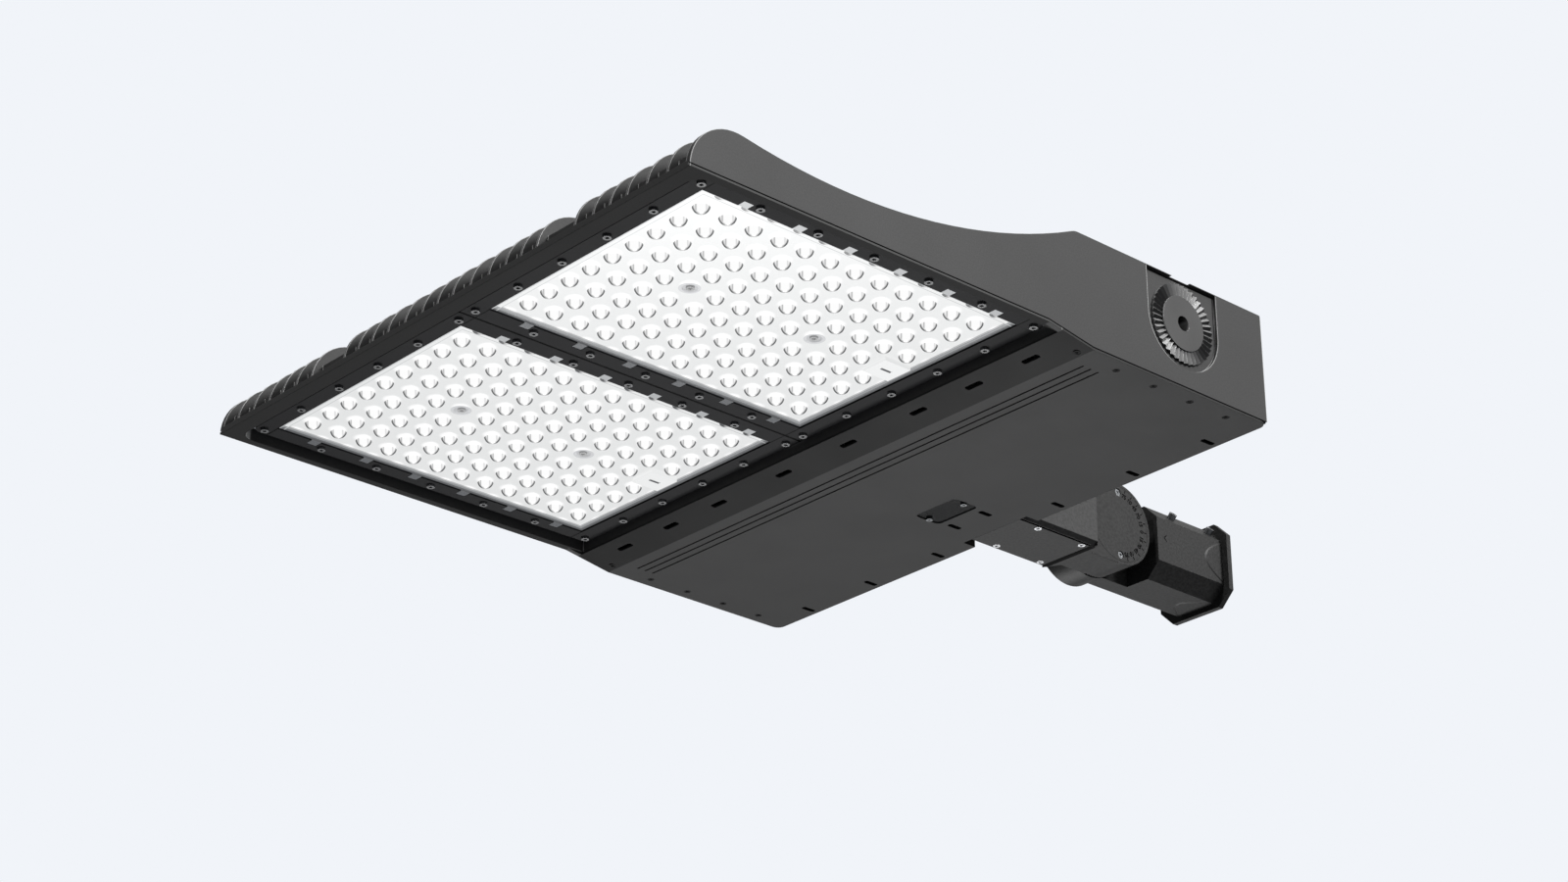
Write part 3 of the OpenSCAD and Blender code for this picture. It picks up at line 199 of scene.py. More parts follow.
bpy.ops.mesh.primitive_plane_add(size=FLOOR_SIZE, location=(MIDDLE.x, 0, -FLOOR_DROP))
floor = bpy.context.object
floor.name = "floor"
floor_paint, tree = new_material("pale_floor_paint")
rays = add(tree, "ShaderNodeLightPath")
tone = add(tree, "ShaderNodeMix",
           {0: rays.outputs["Is Camera Ray"], 6: linear("#555658"), 7: linear("#9C9EA1")}, data_type="RGBA")
paint = add(tree, "ShaderNodeBsdfPrincipled",
            {"Base Color": tone.outputs[2], "Roughness": 0.9, "Specular IOR Level": 0.1})
add(tree, "ShaderNodeOutputMaterial", {"Surface": paint.outputs["BSDF"]})
floor.data.materials.append(floor_paint)
bpy.context.scene.view_settings.view_transform = "Standard"
print("floor:", FLOOR_SIZE, "m wide,", FLOOR_DROP, "m down")

# %% [markdown]
# The castings are die-cast aluminium under a fine-textured powder coat. The powder melts into a skin with a
# grain of about half a millimetre, which breaks up every reflection. Such a grain could be a photo of paint
# laid over the pieces, but a noise texture has no seams and no end. At the camera's distance half a
# millimetre is about half a pixel of the photo and wouldn't show, so the grain is drawn two to five times
# as coarse, and coarsest on the castings, where it has to show.

# %% Paint with a grain
px_per_mm = FOCAL_PX / (CAMERA_PLACE - MIDDLE).length * MM


def speckled(tree, colour, grain_mm, contrast, coordinates):
    """A noise with that grain, and the colour with its speckle, lighter and darker by contrast."""
    noise = add(tree, "ShaderNodeTexNoise",
                {"Vector": coordinates, "Scale": 1 / (grain_mm * MM), "Detail": 3.0, "Roughness": 0.6})
    ramp = add(tree, "ShaderNodeValToRGB", {"Fac": noise.outputs["Fac"]})
    base = linear(colour)[:3]
    for stop, place, tone in zip(ramp.color_ramp.elements, (0.3, 0.7), (1 - contrast, 1 + contrast)):
        stop.position = place
        stop.color = [c * tone for c in base] + [1]
    return noise, ramp


print("half a millimetre covers", round(0.5 * px_per_mm, 2), "px of the photo")

# %% [markdown]
# A thin painted highlight runs along the sharp edges of a casting, where the faces that look forward or back
# meet those that look sideways.
# The line could be modelled as a narrow face, but there are hundreds of such edges. Blender's Bevel node
# knows where one is: it rounds the shading there, so that the normal looks both forward and sideways, which
# few faces of these pieces do by themselves.

# %% Painted highlight on the edges
EDGE_HIGHLIGHT_MM = 1.3
TURNED_FROM, TURNED_FULLY = 0.12, 0.36


def ramp_up(tree, value, low, high):
    """0 below low, 1 above high, smooth between them. With low above high it falls instead."""
    node = add(tree, "ShaderNodeMapRange", {"Value": value, "From Min": low, "From Max": high},
               interpolation_type="SMOOTHSTEP")
    return node.outputs["Result"]


def over(tree, base, colour, mask):
    """Colour laid over base where mask is 1. base is a hex colour or a socket."""
    below = linear(base) if isinstance(base, str) else base
    return add(tree, "ShaderNodeMix", {0: mask, 6: below, 7: linear(colour)}, data_type="RGBA").outputs[2]


def upright_edges(tree):
    """1 along the sharp edges between the faces that look forward or back and those that look sideways,
    where the highlight is painted.
    """
    rounded = add(tree, "ShaderNodeBevel", {"Radius": EDGE_HIGHLIGHT_MM * MM}, samples=8)
    split = add(tree, "ShaderNodeSeparateXYZ", {"Vector": rounded.outputs["Normal"]})
    forward, sideways = (add(tree, "ShaderNodeMath", {0: split.outputs[axis]}, operation="ABSOLUTE")
                         for axis in "XY")
    both = add(tree, "ShaderNodeMath", {0: forward.outputs[0], 1: sideways.outputs[0]}, operation="MINIMUM")
    return ramp_up(tree, both.outputs[0], TURNED_FROM, TURNED_FULLY)


print("light line on an edge:", EDGE_HIGHLIGHT_MM, "mm to each side")

# %% [markdown]
# The ring of face teeth on each yoke hub shines on one side and is black on the other, like the pleats of a
# fan. The teeth are real solids, but each is only a few pixels wide, and a small lamp aimed at them would
# also light all the rest. So their flanks take a painted highlight where they face up and forward, and
# painted shade where they face away.

# %% Painted light and shade on the tooth flanks
TOOTH_LIGHT = math.radians(30)


def turned(tree, x, y, turn):
    """How far the point x, y lies along the direction turn."""
    rise = add(tree, "ShaderNodeMath", {0: y, 1: math.sin(turn)}, operation="MULTIPLY")
    total = add(tree, "ShaderNodeMath", {0: x, 1: math.cos(turn), 2: rise.outputs[0]},
                operation="MULTIPLY_ADD")
    return total.outputs[0]


def tooth_tones(tree, paint, flanks):
    """Lays a painted highlight and painted shade over the paint. flanks is the surface's normal."""
    split = add(tree, "ShaderNodeSeparateXYZ", {"Vector": flanks})
    facing = turned(tree, split.outputs["X"], split.outputs["Z"], TOOTH_LIGHT)
    paint = over(tree, paint, "#8A8A8A", ramp_up(tree, facing, 0.1, 0.5))
    return over(tree, paint, "#080808", ramp_up(tree, facing, -0.1, -0.5))


print("tooth flanks are lit from", round(math.degrees(TOOTH_LIGHT)), "degrees above the nose")

# %% [markdown]
# The rails that clamp the lens sheets are strips of steel laid end to end. Where two meet, a dark joint
# stays open. In the frame it is less than a pixel wide and wouldn't show, so it is drawn wider, as a dark
# line in the paint of the strips. Its places are taken from the strips' own boxes, so it stays on the joint
# if the frame changes.

# %% Open joints of the rails
JOINT_W = 2.8 * MM
RAIL_MIDDLE = (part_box("left_inner_rail")[0].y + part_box("right_inner_rail")[1].y) / 2
RAIL_ENDS = (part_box("left_rear_rail")[1].x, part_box("left_nose_rail")[0].x)


def inside(tree, value, middle, size):
    """1 where value lies within half of size from middle."""
    return add(tree, "ShaderNodeMath", {0: value, 1: middle, 2: size / 2}, operation="COMPARE").outputs[0]


def joint_lines(tree, paint, place):
    """Lays the dark of the joints over the paint. Those at the ends are half as wide as the middle one."""
    split = add(tree, "ShaderNodeSeparateXYZ", {"Vector": place})
    lines = inside(tree, split.outputs["Y"], RAIL_MIDDLE, JOINT_W)
    for joint_x in RAIL_ENDS:
        line = inside(tree, split.outputs["X"], joint_x, JOINT_W / 2)
        lines = add(tree, "ShaderNodeMath", {0: lines, 1: line}, operation="MAXIMUM").outputs[0]
    return over(tree, paint, "#050505", lines)


print("joints at y", round(RAIL_MIDDLE, 4), "and x", [round(x, 4) for x in RAIL_ENDS])

# %% [markdown]
# A paint is no metal, whatever lies under it, so the shader of a coat is a rough dielectric, and the same
# noise that speckles it also lifts it as a bump. The edges of a real casting are never knife sharp, so the
# shading rounds them. Handling and rain dull a coat in patches about as wide as a hand, which a second,
# broad noise gives.

# %% Powder-coat material
WEAR_PATCH = 60 * MM
WEAR_ROUGHNESS = 0.05


def powder_coat(name, colour, grain_mm, lift_mm, contrast, roughness, edge_mm, shine=0.1, edge_highlight_tone=None,
                teeth=False, joints=False):
    """A coat with that grain. The tone given for the edges is laid on them as a painted highlight. teeth
    adds painted light and painted shade on tooth flanks, joints the dark joint lines.
    """
    material, tree = new_material(name)
    place = add(tree, "ShaderNodeTexCoord")
    noise, ramp = speckled(tree, colour, grain_mm, contrast, place.outputs["Object"])
    paint = ramp.outputs["Color"]
    # Painted highlight along the sharp edges
    if edge_highlight_tone:
        paint = over(tree, paint, edge_highlight_tone, upright_edges(tree))
    # Painted highlight and painted shade on the tooth flanks
    if teeth:
        paint = tooth_tones(tree, paint, place.outputs["Normal"])
    if joints:
        paint = joint_lines(tree, paint, place.outputs["Object"])
    edge = add(tree, "ShaderNodeBevel", {"Radius": edge_mm * MM}, samples=6)
    bump = add(tree, "ShaderNodeBump", {"Height": noise.outputs["Fac"], "Normal": edge.outputs["Normal"],
                                        "Strength": 0.5, "Distance": lift_mm * MM})
    wear = add(tree, "ShaderNodeTexNoise",
               {"Vector": place.outputs["Object"], "Scale": 1 / WEAR_PATCH, "Detail": 2.0})
    rough = add(tree, "ShaderNodeMapRange",
                {"Value": wear.outputs["Fac"], "To Min": roughness - WEAR_ROUGHNESS,
                 "To Max": roughness + WEAR_ROUGHNESS})
    coat = add(tree, "ShaderNodeBsdfPrincipled",
               {"Base Color": paint, "Normal": bump.outputs["Normal"], "Roughness": rough.outputs["Result"],
                "IOR": 1.5, "Specular IOR Level": shine})
    add(tree, "ShaderNodeOutputMaterial", {"Surface": coat.outputs["BSDF"]})
    return material


print("wear patches:", round(WEAR_PATCH / MM), "mm wide")

# %% [markdown]
# One recipe makes all the coats of this light. They differ in how dark the powder is, how coarse its grain
# lies on a cast, a rubbed or a rolled surface, and how much it shines.

# %% Coats
# Powder on a sand-textured casting: grey and grainy, with a painted highlight along its edges
casting_coat = powder_coat("powder_coat_on_casting", "#3D3D3D", grain_mm=1.4, lift_mm=0.10, contrast=0.14,
                           roughness=0.52, edge_mm=0.7, edge_highlight_tone="#B4B4B4")
# On the arm and the fitter the powder is darker: nearly black, with the coarsest grain
knuckle_coat = powder_coat("powder_coat_on_knuckle", "#2B2B2B", grain_mm=2.4, lift_mm=0.15, contrast=0.34,
                           roughness=0.42, edge_mm=0.7)
# A lighter, more even copy of the knuckle's coat on the long flat side of the arm's box: painted light on a
# face that catches more light
lit_flat_coat = powder_coat("powder_coat_lit_on_flat_side", "#3E3E3E", grain_mm=2.4, lift_mm=0.15, contrast=0.22,
                        roughness=0.42, edge_mm=0.7)
# Powder on rolled sheet lies smooth, and looks a shade darker and quite even
sheet_coat = powder_coat("powder_coat_on_sheet", "#272727", grain_mm=0.9, lift_mm=0.03, contrast=0.05,
                         roughness=0.5, edge_mm=0.4)
# A darker, duller copy of the sheet's coat where the sheet slopes towards the nose: painted shade
shaded_slope_coat = powder_coat("powder_coat_shaded_on_sloping_sheet", "#1E1E1E", grain_mm=0.9, lift_mm=0.03,
                         contrast=0.05, roughness=0.5, edge_mm=0.4, shine=0.04)
# Machined teeth take the powder thinly and shine, with a painted highlight and painted shade on their flanks
tooth_coat = powder_coat("powder_coat_on_teeth", "#303030", grain_mm=1.0, lift_mm=0.02, contrast=0.06,
                         roughness=0.26, edge_mm=0.3, shine=0.5, teeth=True)
# A darker, duller copy of the casting coat on the underside of the rim round the lens modules: painted shade
shaded_rim_coat = powder_coat("shaded_coat_on_rim", "#303030", grain_mm=1.2, lift_mm=0.06, contrast=0.10,
                       roughness=0.5, edge_mm=0.7, shine=0.02)
# Electro-dipped black primer on the steel strips of the rails: thin, even and dark
rail_coat = powder_coat("e_coat_on_steel_strip", "#2E2E2F", grain_mm=0.8, lift_mm=0.02, contrast=0.08,
                        roughness=0.42, edge_mm=0.3, shine=0.02, joints=True)
print("coats:", [m.name for m in bpy.data.materials if "coat" in m.name])

# %% [markdown]
# Each lens sheet is one moulding of clear polycarbonate with a dome over every LED. The tones on it follow
# its shapes, so the places of the domes, the screws and the sheet's plane are taken from the frame's own
# boxes.

# %% Lens grid
LENS_PITCH = 27 * MM
LENS_R = 7.3 * MM
LENS_H = 5.6 * MM
CHIP = 3.5 * MM
chips = {side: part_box(side + "_chips") for side in SIDES}
sheet = {side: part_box(side + "_lens_sheet") for side in SIDES}
boss_screws = {side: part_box(side + "_board_screws") for side in SIDES}
lens_x = chips["left"][1].x - CHIP / 2
lens_y = {"left": chips["left"][1].y - CHIP / 2, "right": chips["right"][0].y + CHIP / 2}
sheet_z = sheet["left"][0].z + LENS_H
print("first lens at x", round(lens_x, 4), "and y", {side: round(y, 4) for side, y in lens_y.items()})

# %% [markdown]
# A tone that repeats with the domes needs to know where in its lens cell a point lies. The Math node's Wrap
# does that: it folds the whole sheet into one cell, like a pattern stamped by a roller.

# %% Place in a lens cell
UP_TURN = math.radians(48.3)


def cell(tree, value, start):
    """Where a point lies in its lens cell, in lens radii from the lens's axis."""
    folded = add(tree, "ShaderNodeMath", {0: value, 1: start + LENS_PITCH / 2, 2: start - LENS_PITCH / 2},
                 operation="WRAP")
    return add(tree, "ShaderNodeMath", {0: folded.outputs[0], 1: 1 / LENS_R, 2: -start / LENS_R},
               operation="MULTIPLY_ADD").outputs[0]


def distance(tree, x, y):
    """How far the point x, y lies from the origin."""
    point = add(tree, "ShaderNodeCombineXYZ", {"X": x, "Y": y})
    return add(tree, "ShaderNodeVectorMath", {0: point.outputs[0]}, operation="LENGTH").outputs["Value"]


def away_from(tree, value, middle):
    """How far value lies from middle, on either side."""
    gap = add(tree, "ShaderNodeMath", {0: value, 1: middle}, operation="SUBTRACT")
    return add(tree, "ShaderNodeMath", {0: gap.outputs[0]}, operation="ABSOLUTE").outputs[0]


print("up in the photo runs", round(math.degrees(UP_TURN), 1), "degrees round from the sheet's length")

# %% [markdown]
# From below the sheet reads as white, because a white circuit board lies behind it. A clear dome turns dark
# where it is seen at a grazing angle, because its wall there mirrors the dark inside of the head. True
# refraction would show that, but it needs more bounces of light than a render has to spare, so the dark is
# painted. It follows the angle of view and is strongest on the flanks that face across the photo. The
# hollow over the LED adds two shorter strokes.

# %% Dark of a dome
GLANCE_FROM, GLANCE_FULLY = 0.24, 0.58
FLANK_FROM, FLANK_FULLY = 0.05, 0.65
FLANK_SHARE = 0.55
STROKES = ((0.55, 0.17, 0.55), (-0.60, 0.15, 0.30))
STROKE_TOP = 0.5


def band(tree, value, middle, half):
    """1 at middle, falling smoothly to 0 at middle plus or minus half."""
    return ramp_up(tree, away_from(tree, value, middle), half, 0.0)


def dome_dark(tree, across, upward):
    """How dark a dome is. across and upward are in lens radii, as the photo shows them."""
    weight = add(tree, "ShaderNodeLayerWeight", {"Blend": 0.5})
    glancing = ramp_up(tree, weight.outputs["Facing"], GLANCE_FROM, GLANCE_FULLY)
    flank = ramp_up(tree, away_from(tree, across, 0.0), FLANK_FROM, FLANK_FULLY)
    share = add(tree, "ShaderNodeMath", {0: flank, 1: FLANK_SHARE, 2: 1 - FLANK_SHARE},
                operation="MULTIPLY_ADD")
    rim = add(tree, "ShaderNodeMath", {0: glancing, 1: share.outputs[0]}, operation="MULTIPLY")
    strokes = 0.0
    for middle, half, strength in STROKES:
        strokes = add(tree, "ShaderNodeMath", {0: band(tree, across, middle, half), 1: strength, 2: strokes},
                      operation="MULTIPLY_ADD").outputs[0]
    hollow = add(tree, "ShaderNodeMath", {0: strokes, 1: ramp_up(tree, upward, 0.0, STROKE_TOP)},
                 operation="MULTIPLY")
    dark = add(tree, "ShaderNodeMath", {0: rim.outputs[0], 1: hollow.outputs[0]}, operation="MAXIMUM")
    return dark.outputs[0]


print("strokes of the hollow:", len(STROKES))

# %% [markdown]
# More tones lie on the sheet. The camera looks through the border's rear and inner edges at the dark head,
# so they show grey, while the other two only carry a fine double line. The tabs hang over the dark rail,
# and show darker still. The bump over the wire entry is bare plastic with no board behind it. They could be
# painted as a picture, but all of them follow straight edges, so they are stripes and rectangles measured
# from the rails that frame the sheet.

# %% Border, tabs and wire entry
RAIL_W = 16 * MM
WIDE_RAIL_W = 19 * MM
BORDER = 7 * MM
BORDER_BLUR = 0.5 * MM
DARK_STRIP = (0.55, 0.45)
DOUBLE_LINE = (0.25, 0.9)
LINE_HALF = 0.9 * MM
ENTRY_LEN, ENTRY_W = 30 * MM, 28 * MM
SLOT_LEN, SLOT_W = 12 * MM, 3.0 * MM


def field(side):
    """The lens field's edges, from the sheet's box without the rails that lie over it."""
    low, high = sheet[side]
    inner, outer = (WIDE_RAIL_W, RAIL_W) if side == "left" else (RAIL_W, WIDE_RAIL_W)
    return low.x + WIDE_RAIL_W, high.x - RAIL_W, low.y + inner, high.y - outer


def entry_patch(tree, side, x, y, length, width):
    """1 on a rectangle in the middle of the bump over the wire entry."""
    x0, _, y0, y1 = field(side)
    lengthwise = inside(tree, x, x0 + BORDER + ENTRY_LEN / 2, length)
    crosswise = inside(tree, y, (y0 + y1) / 2, width)
    return add(tree, "ShaderNodeMath", {0: lengthwise, 1: crosswise}, operation="MULTIPLY").outputs[0]


def nearer(tree, first, second):
    """The smaller of two distances, each given as a pair that is subtracted."""
    gaps = [add(tree, "ShaderNodeMath", {0: a, 1: b}, operation="SUBTRACT").outputs[0]
            for a, b in (first, second)]
    return add(tree, "ShaderNodeMath", {0: gaps[0], 1: gaps[1]}, operation="MINIMUM").outputs[0]


def edge_tones(tree, shade, side, x, y):
    """The greys of the sheet's border, tabs and wire entry, laid over shade."""
    x0, x1, y0, y1 = field(side)
    grey_edge = nearer(tree, (x, x0), (y, y0))
    fine_edge = nearer(tree, (x1, x), (y1, y))
    shade = over(tree, shade, "#888A8C", ramp_up(tree, grey_edge, BORDER, BORDER - BORDER_BLUR))
    shade = over(tree, shade, "#58595B", ramp_up(tree, grey_edge, *(BORDER * part for part in DARK_STRIP)))
    for place in DOUBLE_LINE:
        shade = over(tree, shade, "#B4B6B8", band(tree, fine_edge, BORDER * place, LINE_HALF))
    for length, width, tone in ((ENTRY_LEN, ENTRY_W, "#E8E9E9"), (SLOT_LEN, SLOT_W, "#58595B")):
        shade = over(tree, shade, tone, entry_patch(tree, side, x, y, length, width))
    for test, edge, tone in (("LESS_THAN", y0, "#505255"), ("GREATER_THAN", y1, "#A4A6A8")):
        tab = add(tree, "ShaderNodeMath", {0: y, 1: edge}, operation=test).outputs[0]
        shade = over(tree, shade, tone, tab)
    return shade


print("lens fields:", {side: [round(v, 4) for v in field(side)] for side in SIDES})

# %% [markdown]
# Two screws hold each board through round bosses in the sheet. A boss is bare plastic, so it shows as a
# grey ring round a darker floor. Both are plain circles about the screws.

# %% Bosses
BOSS_R = 9.5 * MM
BOSS_FLOOR_R = 6.8 * MM
BOSS_BLUR = 0.4 * MM
BOARD_SCREW_R = 3.0 * MM


def boss_tones(tree, shade, side, x, y):
    """The greys of the two bosses, laid over shade."""
    low, high = boss_screws[side]
    off_y = add(tree, "ShaderNodeMath", {0: y, 1: (low.y + high.y) / 2}, operation="SUBTRACT").outputs[0]
    for boss_x in (low.x + BOARD_SCREW_R, high.x - BOARD_SCREW_R):
        off_x = add(tree, "ShaderNodeMath", {0: x, 1: boss_x}, operation="SUBTRACT").outputs[0]
        away = distance(tree, off_x, off_y)
        for radius, tone in ((BOSS_R, "#C8C9CB"), (BOSS_FLOOR_R, "#B4B5B7")):
            shade = over(tree, shade, tone, ramp_up(tree, away, radius, radius - BOSS_BLUR))
    return shade


print("bosses between x", round(boss_screws["left"][0].x, 4), "and", round(boss_screws["left"][1].x, 4))

# %% [markdown]
# The sheet shows evenly bright, with no shadow of the domes on the white board behind it, and that light is
# painted in. Lamps behind the sheet could do it, but they would light the room too. So the sheet's tones are
# given off rather than lit, as a painted glow, and the plastic's own colour stays dark, with a little shine
# on top.

# %% Lens material
DOME_START = 0.2 * MM
DOME_EDGE = 1.01
HALO_SHIFT = 0.9
HALO_FROM, HALO_FULLY = 1.35, 0.6
SHEET_PAINTED_GLOW = 0.97


def dome_area(tree, side, x, y, z, u, v):
    """1 on the domes, but not on the bump over the wire entry."""
    below = add(tree, "ShaderNodeMath", {0: z, 1: sheet_z - DOME_START}, operation="LESS_THAN")
    in_circle = add(tree, "ShaderNodeMath", {0: distance(tree, u, v), 1: DOME_EDGE}, operation="LESS_THAN")
    domes = add(tree, "ShaderNodeMath", {0: below.outputs[0], 1: in_circle.outputs[0]}, operation="MULTIPLY")
    bump = entry_patch(tree, side, x, y, ENTRY_LEN, ENTRY_W)
    area = add(tree, "ShaderNodeMath", {0: domes.outputs[0], 1: bump}, operation="SUBTRACT", use_clamp=True)
    return area.outputs[0]


def lens_material(side):
    """Clear polycarbonate over a white board, whose light is painted in as a glow, for the sheet on that
    side.
    """
    material, tree = new_material("clear_polycarbonate_over_white_" + side)
    place = add(tree, "ShaderNodeTexCoord")
    split = add(tree, "ShaderNodeSeparateXYZ", {"Vector": place.outputs["Object"]})
    x, y, z = (split.outputs[axis] for axis in "XYZ")
    u, v = cell(tree, x, lens_x), cell(tree, y, lens_y[side])
    across = turned(tree, u, v, UP_TURN - math.pi / 2)
    upward = turned(tree, u, v, UP_TURN)
    on_dome = dome_area(tree, side, x, y, z, u, v)
    # Painted highlight: each dome, and a halo shifted a little upward in the view from it, is pure white
    shifted = add(tree, "ShaderNodeMath", {0: upward, 1: HALO_SHIFT}, operation="SUBTRACT").outputs[0]
    painted_halo = ramp_up(tree, distance(tree, across, shifted), HALO_FROM, HALO_FULLY)
    white = add(tree, "ShaderNodeMath", {0: on_dome, 1: painted_halo}, operation="MAXIMUM").outputs[0]
    dark = dome_dark(tree, across, upward)
    dark = add(tree, "ShaderNodeMath", {0: dark, 1: on_dome}, operation="MULTIPLY")
    shade = over(tree, "#DFE0E0", "#FFFFFF", white)
    shade = over(tree, shade, "#2C2E30", dark.outputs[0])
    shade = edge_tones(tree, shade, side, x, y)
    shade = boss_tones(tree, shade, side, x, y)
    # The tones of the sheet are given off as a painted glow
    plastic = add(tree, "ShaderNodeBsdfPrincipled",
                  {"Base Color": linear("#303132"), "Emission Color": shade, "Emission Strength": SHEET_PAINTED_GLOW,
                   "Roughness": 0.2, "IOR": 1.585, "Specular IOR Level": 0.3})
    add(tree, "ShaderNodeOutputMaterial", {"Surface": plastic.outputs["BSDF"]})
    return material


lens_plastic = {side: lens_material(side) for side in SIDES}
print("lens materials:", {m.name: len(m.node_tree.nodes) for m in lens_plastic.values()})

# %% [markdown]
# The small metal parts are plated, blackened or bare. They could share one grey, but a screw is known by
# its glint, so each has its own colour and roughness. A metal keeps the default index of refraction. The
# grain of a plating is far finer than a pixel, so it is drawn at 0.4 mm, where it only breaks the glint up.


# %% Metals
def metal(name, colour, roughness):
    """A bare or plated metal with a fine grain and edges that are slightly rounded."""
    material, tree = new_material(name)
    place = add(tree, "ShaderNodeTexCoord")
    noise, ramp = speckled(tree, colour, grain_mm=0.4, contrast=0.08, coordinates=place.outputs["Object"])
    edge = add(tree, "ShaderNodeBevel", {"Radius": 0.3 * MM}, samples=4)
    bump = add(tree, "ShaderNodeBump", {"Height": noise.outputs["Fac"], "Normal": edge.outputs["Normal"],
                                        "Strength": 0.3, "Distance": 0.01 * MM})
    surface = add(tree, "ShaderNodeBsdfPrincipled",
                  {"Base Color": ramp.outputs["Color"], "Normal": bump.outputs["Normal"], "Metallic": 1.0,
                   "Roughness": roughness})
    add(tree, "ShaderNodeOutputMaterial", {"Surface": surface.outputs["BSDF"]})
    return material


# Bright zinc on a steel screw: pale grey with a soft shine
zinc = metal("zinc_plated_steel", "#C9CACC", roughness=0.3)
# Black oxide on a countersunk screw: almost no shine
black_oxide = metal("black_oxide_steel", "#0A0A0A", roughness=0.6)
# Nickel on the small screws of the dial and the window: grey, with a small bright glint
nickel = metal("nickel_plated_steel", "#77797B", roughness=0.28)
# Stainless set screws: greyer and duller than zinc
stainless = metal("stainless_steel", "#8E9092", roughness=0.34)
# Bare extruded aluminium of a driver's case: pale, with a broad soft shine
bare_aluminium = metal("bare_aluminium", "#B9BBBD", roughness=0.4)
# Green passivated zinc of the earth screw: its colour marks what it is for
green_zinc = metal("green_passivated_steel", "#2E7A45", roughness=0.35)
print("metals:", [m.name for m in (zinc, black_oxide, nickel, stainless, bare_aluminium, green_zinc)])

# %% [markdown]
# Plastics, seals and the flake on some screws reflect alike whatever their colour, so one recipe makes
# them, with the index of refraction of each. The faint texture of a mould, a tenth of a millimetre wide,
# would never show, so it is drawn at 0.8 mm, just enough to keep them from looking like glass.


# %% Mouldings and seals
def moulded(name, colour, roughness, ior, more=None):
    """A moulded plastic or rubber. more gives further inputs of its shader."""
    material, tree = new_material(name)
    place = add(tree, "ShaderNodeTexCoord")
    noise, ramp = speckled(tree, colour, grain_mm=0.8, contrast=0.04, coordinates=place.outputs["Object"])
    bump = add(tree, "ShaderNodeBump",
               {"Height": noise.outputs["Fac"], "Strength": 0.3, "Distance": 0.02 * MM})
    surface = add(tree, "ShaderNodeBsdfPrincipled",
                  {"Base Color": ramp.outputs["Color"], "Normal": bump.outputs["Normal"],
                   "Roughness": roughness, "IOR": ior, **(more or {})})
    add(tree, "ShaderNodeOutputMaterial", {"Surface": surface.outputs["BSDF"]})
    return material


# White solder mask of the circuit boards: bright, with a painted glow
solder_mask = moulded("white_solder_mask", "#EDEEEC", roughness=0.4, ior=1.5,
                      more={"Emission Color": linear("#D8D8D8"), "Emission Strength": 0.6})
# Yellow phosphor under clear silicone: the yellow square of every LED
phosphor = moulded("phosphor_in_silicone", "#E7C44C", roughness=0.3, ior=1.41)
# Nylon screws hold the boards, with a faint painted glow like the sheet round them
lit_nylon = moulded("nylon_in_the_glow", "#848586", roughness=0.5, ior=1.53,
                    more={"Emission Color": linear("#A8A8A8"), "Emission Strength": 0.38})
# Grey zinc flake baked on the rail screws: matt enough to hide the socket's shadow
zinc_flake = moulded("zinc_flake_on_steel", "#4A4B4D", roughness=0.45, ior=1.5)
# Silicone gasket of a lens module: pale, matt and soft
silicone = moulded("grey_silicone", "#BDBEBA", roughness=0.7, ior=1.41)
# Neoprene gasket between the arm and the head: black and matt
neoprene = moulded("black_neoprene", "#1B1B1B", roughness=0.75, ior=1.52)
# Black and matt: painted shadow along the seam round the arm's cover, and the black of the fitter's pointer
seam_shade_and_pointer_black = moulded("black_for_seam_shade_and_pointer", "#060606", roughness=0.8, ior=1.5, more={"Specular IOR Level": 0.05})
# Nylon of the terminal block and the sliders: a warm white
white_nylon = moulded("white_nylon", "#DAD9D0", roughness=0.5, ior=1.53)
# Glass-filled nylon of the switch tray: black, with a dull shine
black_nylon = moulded("black_nylon", "#1A1A1B", roughness=0.55, ior=1.53)
# ABS of the slide switches: a red that is easy to find
red_abs = moulded("red_abs", "#A8291C", roughness=0.35, ior=1.54)
# Smoked polycarbonate of the selector window: dark, smooth, and just see-through
smoked = moulded("smoked_polycarbonate", "#0C0D0D", roughness=0.2, ior=1.585,
                 more={"Transmission Weight": 0.25, "Specular IOR Level": 0.07})
# Black ink of the dial's numbers and ticks: blacker and more matt than the coat under it
ink = moulded("black_printing_ink", "#060606", roughness=0.8, ior=1.5, more={"Specular IOR Level": 0.05})
print("materials so far:", len(bpy.data.materials))

# %% [markdown]
# Every CAD piece takes one finish. The list names the pieces by finish, as a paint shop's sheet would, and
# the mirrored ones come in pairs.

